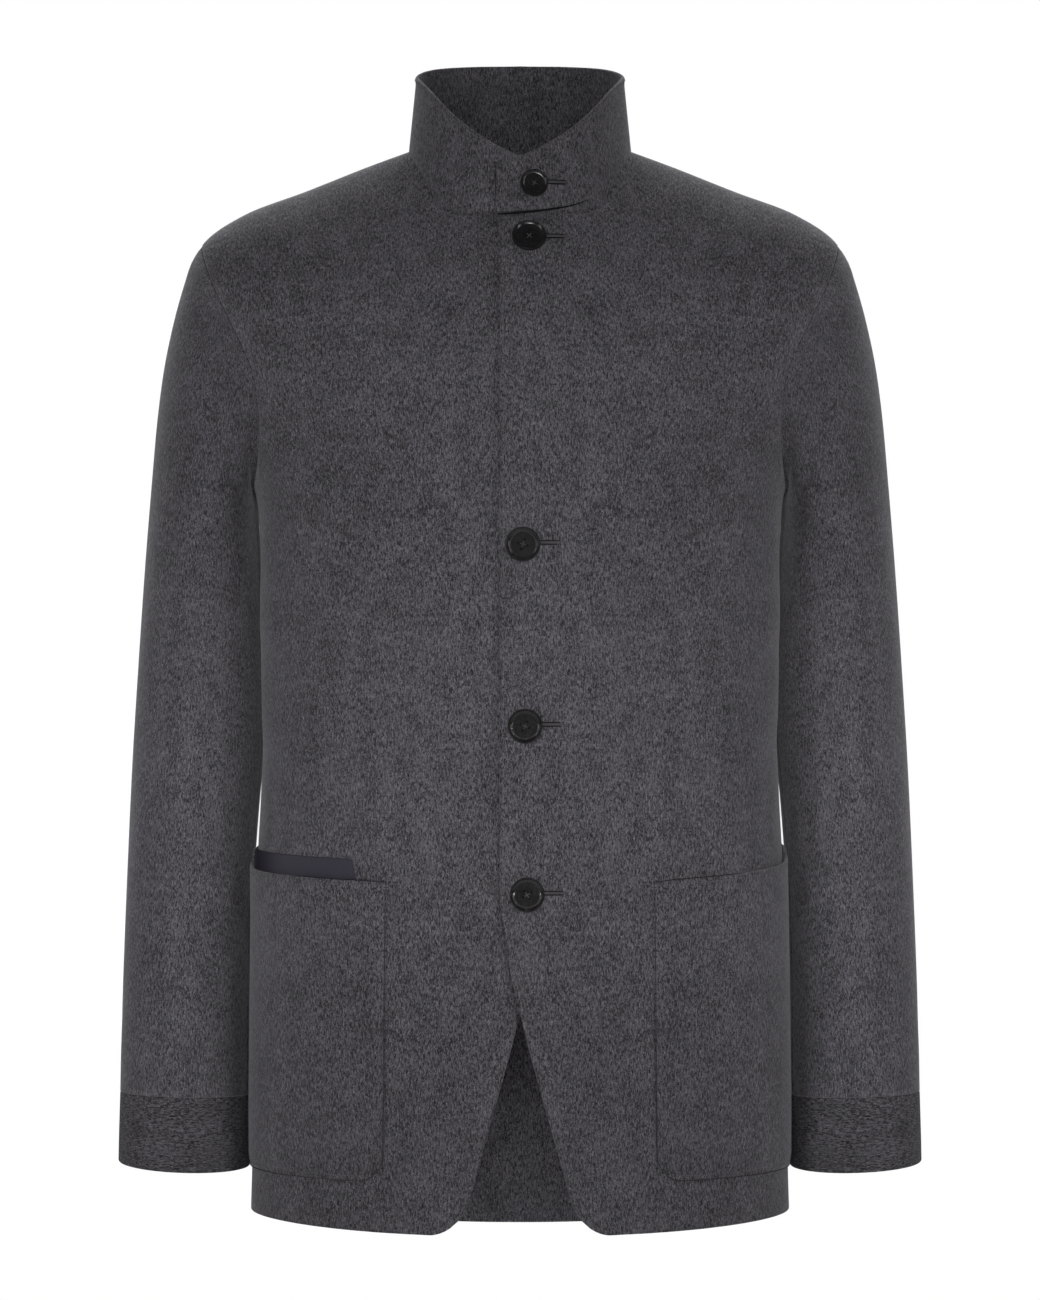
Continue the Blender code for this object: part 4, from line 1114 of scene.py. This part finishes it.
POLISHED_HORN = button_material("polished dark horn", 0.14, 0.22, 0.60)
SATIN_HORN = button_material("satin dark horn", 0.40, 0.52, 0.05)
# Near-black thread used as painted shade: shadow lines in seams and gaps, beside buttonhole lips and in button
# holes.
PAINTED_SHADE_THREAD = thread_material("dark thread for painted shade", (0.004, 0.004, 0.0045), (0.011, 0.0105, 0.012))
WOOL_THREAD = thread_material("wool-coloured thread", (0.045, 0.043, 0.048), (0.110, 0.106, 0.116))
pattern_button = turned_button()
over_end = collar_angles < SHOULDER_SEAM_ANGLE
collar_over = collar_points[:, over_end], collar_out[:, over_end]
for button in BUTTONS:
    face = collar_over if button.name == "collar" else front_grid[1]
    point, out = on_cloth(*face, button.x, button.z)
    size = button.diameter / (2 * BUTTON_RADIUS)
    facing = Vector(out).to_track_quat("Z", "Y").to_matrix().to_4x4()
    turned = Matrix.Rotation(math.radians(button.turn), 4, "Z")
    place = Matrix.Translation(Vector(point) + Vector(out) * SEAM_GAP) @ facing @ turned @ Matrix.Scale(size, 4)
    mesh = pattern_button.data.copy()
    mesh.transform(place)
    made = placed(f"button_{button.name}_turned", mesh)
    sew_in(made, POLISHED_HORN, [f"button_{button.name}"])
    mesh.materials.append(SATIN_HORN)
    strands = []
    for turn in (45, 135):
        way = np.array((math.cos(math.radians(turn)), math.sin(math.radians(turn))))
        for aside in (-THREAD_RADIUS, THREAD_RADIUS):
            share = np.linspace(-1, 1, 9) * THREAD_REACH
            run = share[:, None] * way * HOLE_OFFSET * math.sqrt(2) + aside * np.array((-way[1], way[0]))
            lift = BUTTON_DISH - THREAD_SINK + THREAD_ARCH * (1 - share**4)
            lift = lift + (CROSS_LIFT if turn == 135 else 0.0) * (1 - share**2)
            strands.append([place @ Vector(p) for p in np.column_stack((run, lift))])
    sewn = threads(f"button_{button.name}_thread", strands, THREAD_RADIUS * size)
    sew_in(sewn, WOOL_THREAD, [])
    # Near-black plugs in the four holes: painted shade for their depth.
    heights = np.linspace(SHANK_FOOT, SHANK_TOP, 5)
    painted_shade_plugs = [
        [place @ Vector((x * HOLE_OFFSET, y * HOLE_OFFSET, height)) for height in heights]
        for x in (-1, 1)
        for y in (-1, 1)
    ]
    filled = threads(f"button_{button.name}_shank", painted_shade_plugs, HOLE_RADIUS * SHANK_FIT * size, 16)
    sew_in(filled, PAINTED_SHADE_THREAD, [])
bpy.data.objects.remove(pattern_button)


# Seam lines: a near-black strand in the ditch of each armhole seam is painted shade, the shadow line where the
# cloth is drawn in along a thin line. Round the pockets' sewn edges a seam thread darker than the wool is
# partly thread and partly painted shade of that ditch. At the neck, the collar's over end and the pockets'
# mouths a dark strand stands for the shadow between two layers of cloth.

DITCH_RADIUS, DITCH_LIE = 0.00036, 0.50
DITCH_TURNS = np.linspace(14, 346, 140)
MOUTH_LINE_SHARE, MOUTH_LINE_SINK = 0.42, 0.45
NECK_LINE_RADIUS, NECK_LINE_DEPTH, NECK_LINE_DROP = 0.00075, 0.0012, 0.55
NECK_LINE_START, NECK_LINE_END = -0.0150, 0.0440
COLLAR_LINE_SINK, COLLAR_LINE_ASIDE = 0.6, 0.0004
POCKET_LINE_RADIUS = 0.00028
# Seam thread darker than the wool: partly the pockets' seam thread, partly painted shade of its ditch.
SEAM_THREAD_AND_SHADE = thread_material("seam thread, darkened as painted shade", (0.028, 0.027, 0.030), (0.052, 0.050, 0.055))


def shade_line_along_seam(name, points, radius=DITCH_RADIUS, finish=PAINTED_SHADE_THREAD):
    """One continuous strand along a seam, near-black by default: painted shade, a shadow line where cloth meets
    cloth.
    """
    made = threads(name, [points], radius)
    sew_in(made, finish, [])


for label, side in SIDES:
    seam, _ = armhole_seam(side, DITCH_TURNS)
    # Painted shade: a near-black line in the armhole seam's ditch.
    shade_line_along_seam(f"armhole_{label}_seam", seam + armhole_offset(side, DITCH_TURNS) * DITCH_LIE)
    points, normals = pocket_grid[label]
    round_edge = np.concatenate((points[::-1, 0], points[0, 1:]))
    shade_line_along_seam(f"pocket_{label}_seam", round_edge, POCKET_LINE_RADIUS, SEAM_THREAD_AND_SHADE)
    share = slice(0, int(points.shape[1] * MOUTH_LINE_SHARE))
    shade_line_along_seam(f"pocket_{label}_mouth", points[-1, share] - normals[-1, share] * CLOTH * MOUTH_LINE_SINK)

neck_x = np.linspace(NECK_LINE_START, NECK_LINE_END, 40)
neck_angles = angle_at(neck_x, np.full_like(neck_x, NECK))
neck_line = collar_point(neck_angles, np.zeros_like(neck_angles))
neck_line[:, 2] -= NECK_SLIT * NECK_LINE_DROP * smooth_step(1 - (neck_x + FRONT_OVERLAP) / NECK_SLIT_LENGTH)
neck_line[:, 1] += NECK_LINE_DEPTH
shade_line_along_seam("neck_seam", neck_line, NECK_LINE_RADIUS)
collar_end = collar_points[2:-2, 0] - collar_out[2:-2, 0] * CLOTH * COLLAR_LINE_SINK
collar_end -= (COLLAR_LINE_ASIDE, 0, 0)
shade_line_along_seam("collar_end_seam", collar_end)


# Buttonholes: a level slit in the left front and in the collar's over end beside each button, its two lips
# worked over with close stitches of thread in the wool's own colour and barred at the end. A near-black strand
# just outside each lip is painted shade, the shadow line along the raised lips.

HOLE_BEYOND, HOLE_ABOVE, HOLE_START = 0.0125, 0.0012, 0.3
LIP_RADIUS, LIP_APART, SHADOW_LINE_APART, BAR_REACH = 0.00052, 0.00042, 0.00118, 1.7
LIP_LIE, BAR_LIE, SHADOW_LINE_LIE = 0.4, 0.5, 0.3

for button in BUTTONS:
    face = collar_over if button.name == "collar" else front_grid[1]
    first, last = button.x + button.diameter * HOLE_START, button.x + button.diameter / 2 + HOLE_BEYOND
    z = button.z + HOLE_ABOVE

    def laid(places, height):
        found = [on_cloth(*face, *place) for place in places]
        return [point + out * height for point, out in found]

    run = np.linspace(first, last, 15)
    lips = [laid([(x, z + way * LIP_APART) for x in run], LIP_RADIUS * LIP_LIE) for way in (-1, 1)]
    rises = np.linspace(-1, 1, 7) * LIP_APART * BAR_REACH
    bar = laid([(last + LIP_RADIUS, z + rise) for rise in rises], LIP_RADIUS * BAR_LIE)
    worked = threads(f"buttonhole_{button.name}_lips", [*lips, bar], LIP_RADIUS)
    sew_in(worked, WOOL_THREAD, [])
    # Near-black strands just outside both lips: painted shade, the shadow lines along the raised lips.
    edges = [laid([(x, z + way * SHADOW_LINE_APART) for x in run], LIP_RADIUS * SHADOW_LINE_LIE) for way in (-1, 1)]
    painted_shadow_lines = threads(f"buttonhole_{button.name}_edge", edges, LIP_RADIUS)
    sew_in(painted_shadow_lines, PAINTED_SHADE_THREAD, [])


# Pick stitches: small single stitches of thread in the wool's colour, a few millimetres in from the turned
# edges of fronts, collar and pockets, which hold the edges flat.

PICK_SPACING, PICK_LENGTH, PICK_RADIUS = 0.0036, 0.0020, 0.00026
PICK_RISE, PICK_SIDES, ABOVE_HEM = 0.0002, 5, 6
PICK_RUN = np.array((-0.5, -0.2, 0.2, 0.5))
PICK_ARCH = np.array((-0.00010, 0.00010, 0.00010, -0.00010))
PAST_EDGE = len(EDGE_STEPS)
BEFORE_END = -1 - PAST_EDGE
INNER = slice(PAST_EDGE, -PAST_EDGE)
PICK_THREAD = thread_material("pick thread", (0.075, 0.072, 0.079), (0.165, 0.160, 0.175))


def beside_edge(points, normals):
    """The line of the stitches along a grid's first column."""
    edge, inside = PAST_EDGE - 1, PAST_EDGE
    out = unit(normals[:, edge] + normals[:, inside])
    return (points[:, edge] + points[:, inside]) / 2 + out * PICK_RISE, out


def pick_line(points, normals):
    """Strands of single stitches along a line of cloth points."""
    gone = along_rows(points[None])[0]
    strands = []
    for place in np.arange(PICK_SPACING, gone[-1] - PICK_SPACING, PICK_SPACING):
        at = place + PICK_RUN * PICK_LENGTH
        on_line = np.column_stack([np.interp(at, gone, points[:, k]) for k in range(3)])
        out = unit(np.column_stack([np.interp(at, gone, normals[:, k]) for k in range(3)]))
        strands.append(on_line + out * PICK_ARCH[:, None])
    return strands


def pick_stitched(name, *lines):
    """Stitches of one piece along (points, normals) lines on it."""
    strands = [strand for line in lines for strand in pick_line(*line)]
    sew_in(threads(name, strands, PICK_RADIUS, PICK_SIDES), PICK_THREAD, [])


for label, side in SIDES:
    up_front = [grid[ABOVE_HEM:BEFORE_END] for grid in front_grid[side]]
    pick_stitched(f"front_{label}_stitches", beside_edge(*up_front))
    pocket_lines = ((INNER, PAST_EDGE), (BEFORE_END, INNER), (PAST_EDGE, INNER))
    lines = [[grid[line] for grid in pocket_grid[label]] for line in pocket_lines]
    pick_stitched(f"pocket_{label}_stitches", *lines)
collar_grid = collar_points, collar_out
along_top = [grid[BEFORE_END, INNER] for grid in collar_grid]
pick_stitched("collar_stitches", along_top, beside_edge(*(grid[PAST_EDGE:BEFORE_END] for grid in collar_grid)))


# Studio: a plain pale floor at the height it has under a wearer, and an even white surround. A broad soft
# light stands in front, with narrow ones for chest, hem, sleeves and cuffs, and others beside, above and
# behind. The camera is level with the middle of the jacket.

FLOOR_Z, FLOOR_RADIUS = -1.46, 3.2
FLOOR_GREY, FLOOR_GLOW, WHITE = ((grey, grey, grey, 1.0) for grey in (0.86, 0.62, 1.0))
SURROUND_LIGHT = 0.06
CAMERA_PLACE = (0.0, -4.0, -0.3465)
SENSOR_HEIGHT, VIEW_HEIGHT = 36.0, 0.91
Lamp = namedtuple("Lamp", "name place target size power spread")
LAMPS = rows_of(
    Lamp,
    ("front light", (0, -3.1, -0.46), (0, 0, -0.36), (2.4, 2.2), 14.3, 180),
    ("chest light", (0, -2.6, -0.1), (0, 0, -0.30), (0.8, 0.4), 0.64, 24),
    ("hem light", (0, -3.0, -0.80), (0, 0.1, -0.73), (0.1, 0.1), 0.0038, 3.5),
    ("shoulder light", (0, 1.0, 1.3), (0, 0, -0.05), (1.4, 0.5), 17.3, 180),
    ("back light", (0, 2.7, 0.7), (0, 0, -0.45), (1.4, 0.9), 19, 180),
)
# One of each on both sides, placed here for the wearer's left; lean is how much stronger the left one is
PairedLamp = namedtuple("PairedLamp", "name place target size power spread lean")
PAIRED_LAMPS = rows_of(
    PairedLamp,
    ("side light", (2.4, -1.9, -0.2), (0.1, 0, -0.30), (0.8, 0.9), 1.15, 70, 0.08),
    ("high light", (1.9, -2.1, 0.75), (0.15, 0, -0.20), (0.6, 0.5), 0.27, 40, 0.08),
    ("sleeve light", (0.9, -2.9, -0.60), (0.26, 0, -0.60), (0.2, 0.5), 0.082, 9, 0.0),
    ("cuff light", (-1.45, -2.9, -0.64), (0.23, 0, -0.64), (0.1, 0.5), 0.084, 9, 0.0),
    ("rim light", (1.7, 0.5, -0.2), (0.2, 0, -0.35), (0.6, 1.2), 5.0, 180, 0.0),
)

bpy.ops.mesh.primitive_circle_add(vertices=96, radius=FLOOR_RADIUS, fill_type="NGON", location=(0, 0, FLOOR_Z))
floor = bpy.context.object
floor.name = "floor"
pale, nodes, links, shader = new_finish("pale floor")
fill_in(shader, {"Base Color": FLOOR_GREY, "Roughness": 0.9, "Emission Color": FLOOR_GLOW})
glow = nodes.new("ShaderNodeLightPath")
links.new(glow.outputs["Is Camera Ray"], shader.inputs["Emission Strength"])
floor.data.materials.append(pale)

surround = bpy.data.worlds.new("white surround")
surround.use_nodes = True
nodes, links = surround.node_tree.nodes, surround.node_tree.links
lit, seen = nodes["Background"], nodes.new("ShaderNodeBackground")
fill_in(lit, {"Color": WHITE, "Strength": SURROUND_LIGHT})
fill_in(seen, {"Color": WHITE, "Strength": 1.0})
sight, choice = nodes.new("ShaderNodeLightPath"), nodes.new("ShaderNodeMixShader")
links.new(sight.outputs["Is Camera Ray"], choice.inputs["Fac"])
links.new(lit.outputs["Background"], choice.inputs[1])
links.new(seen.outputs["Background"], choice.inputs[2])
links.new(choice.outputs["Shader"], nodes["World Output"].inputs["Surface"])
bpy.context.scene.world = surround
bpy.context.scene.view_settings.view_transform = "Standard"


def soft_light(name, place, target, size, power, spread):
    lamp = bpy.data.lights.new(name, "AREA")
    lamp.shape = "RECTANGLE"
    lamp.size, lamp.size_y = size
    lamp.energy = power
    lamp.spread = math.radians(spread)
    made = placed(name, lamp)
    made.location = place
    made.visible_camera = False
    made.rotation_euler = (Vector(target) - Vector(place)).to_track_quat("-Z", "Y").to_euler()


for lamp in LAMPS:
    soft_light(*lamp)
for side in (-1, 1):
    for lamp in PAIRED_LAMPS:
        place, target = ((side * x, y, z) for x, y, z in (lamp.place, lamp.target))
        power = lamp.power * (1 + side * lamp.lean)
        soft_light(f"{lamp.name} {side}", place, target, lamp.size, power, lamp.spread)

camera = placed("camera", bpy.data.cameras.new("camera"))
camera.location = CAMERA_PLACE
camera.rotation_euler = (math.pi / 2, 0, 0)
camera.data.sensor_fit = "VERTICAL"
camera.data.sensor_height = SENSOR_HEIGHT
camera.data.lens = SENSOR_HEIGHT * -CAMERA_PLACE[1] / VIEW_HEIGHT
bpy.context.scene.camera = camera
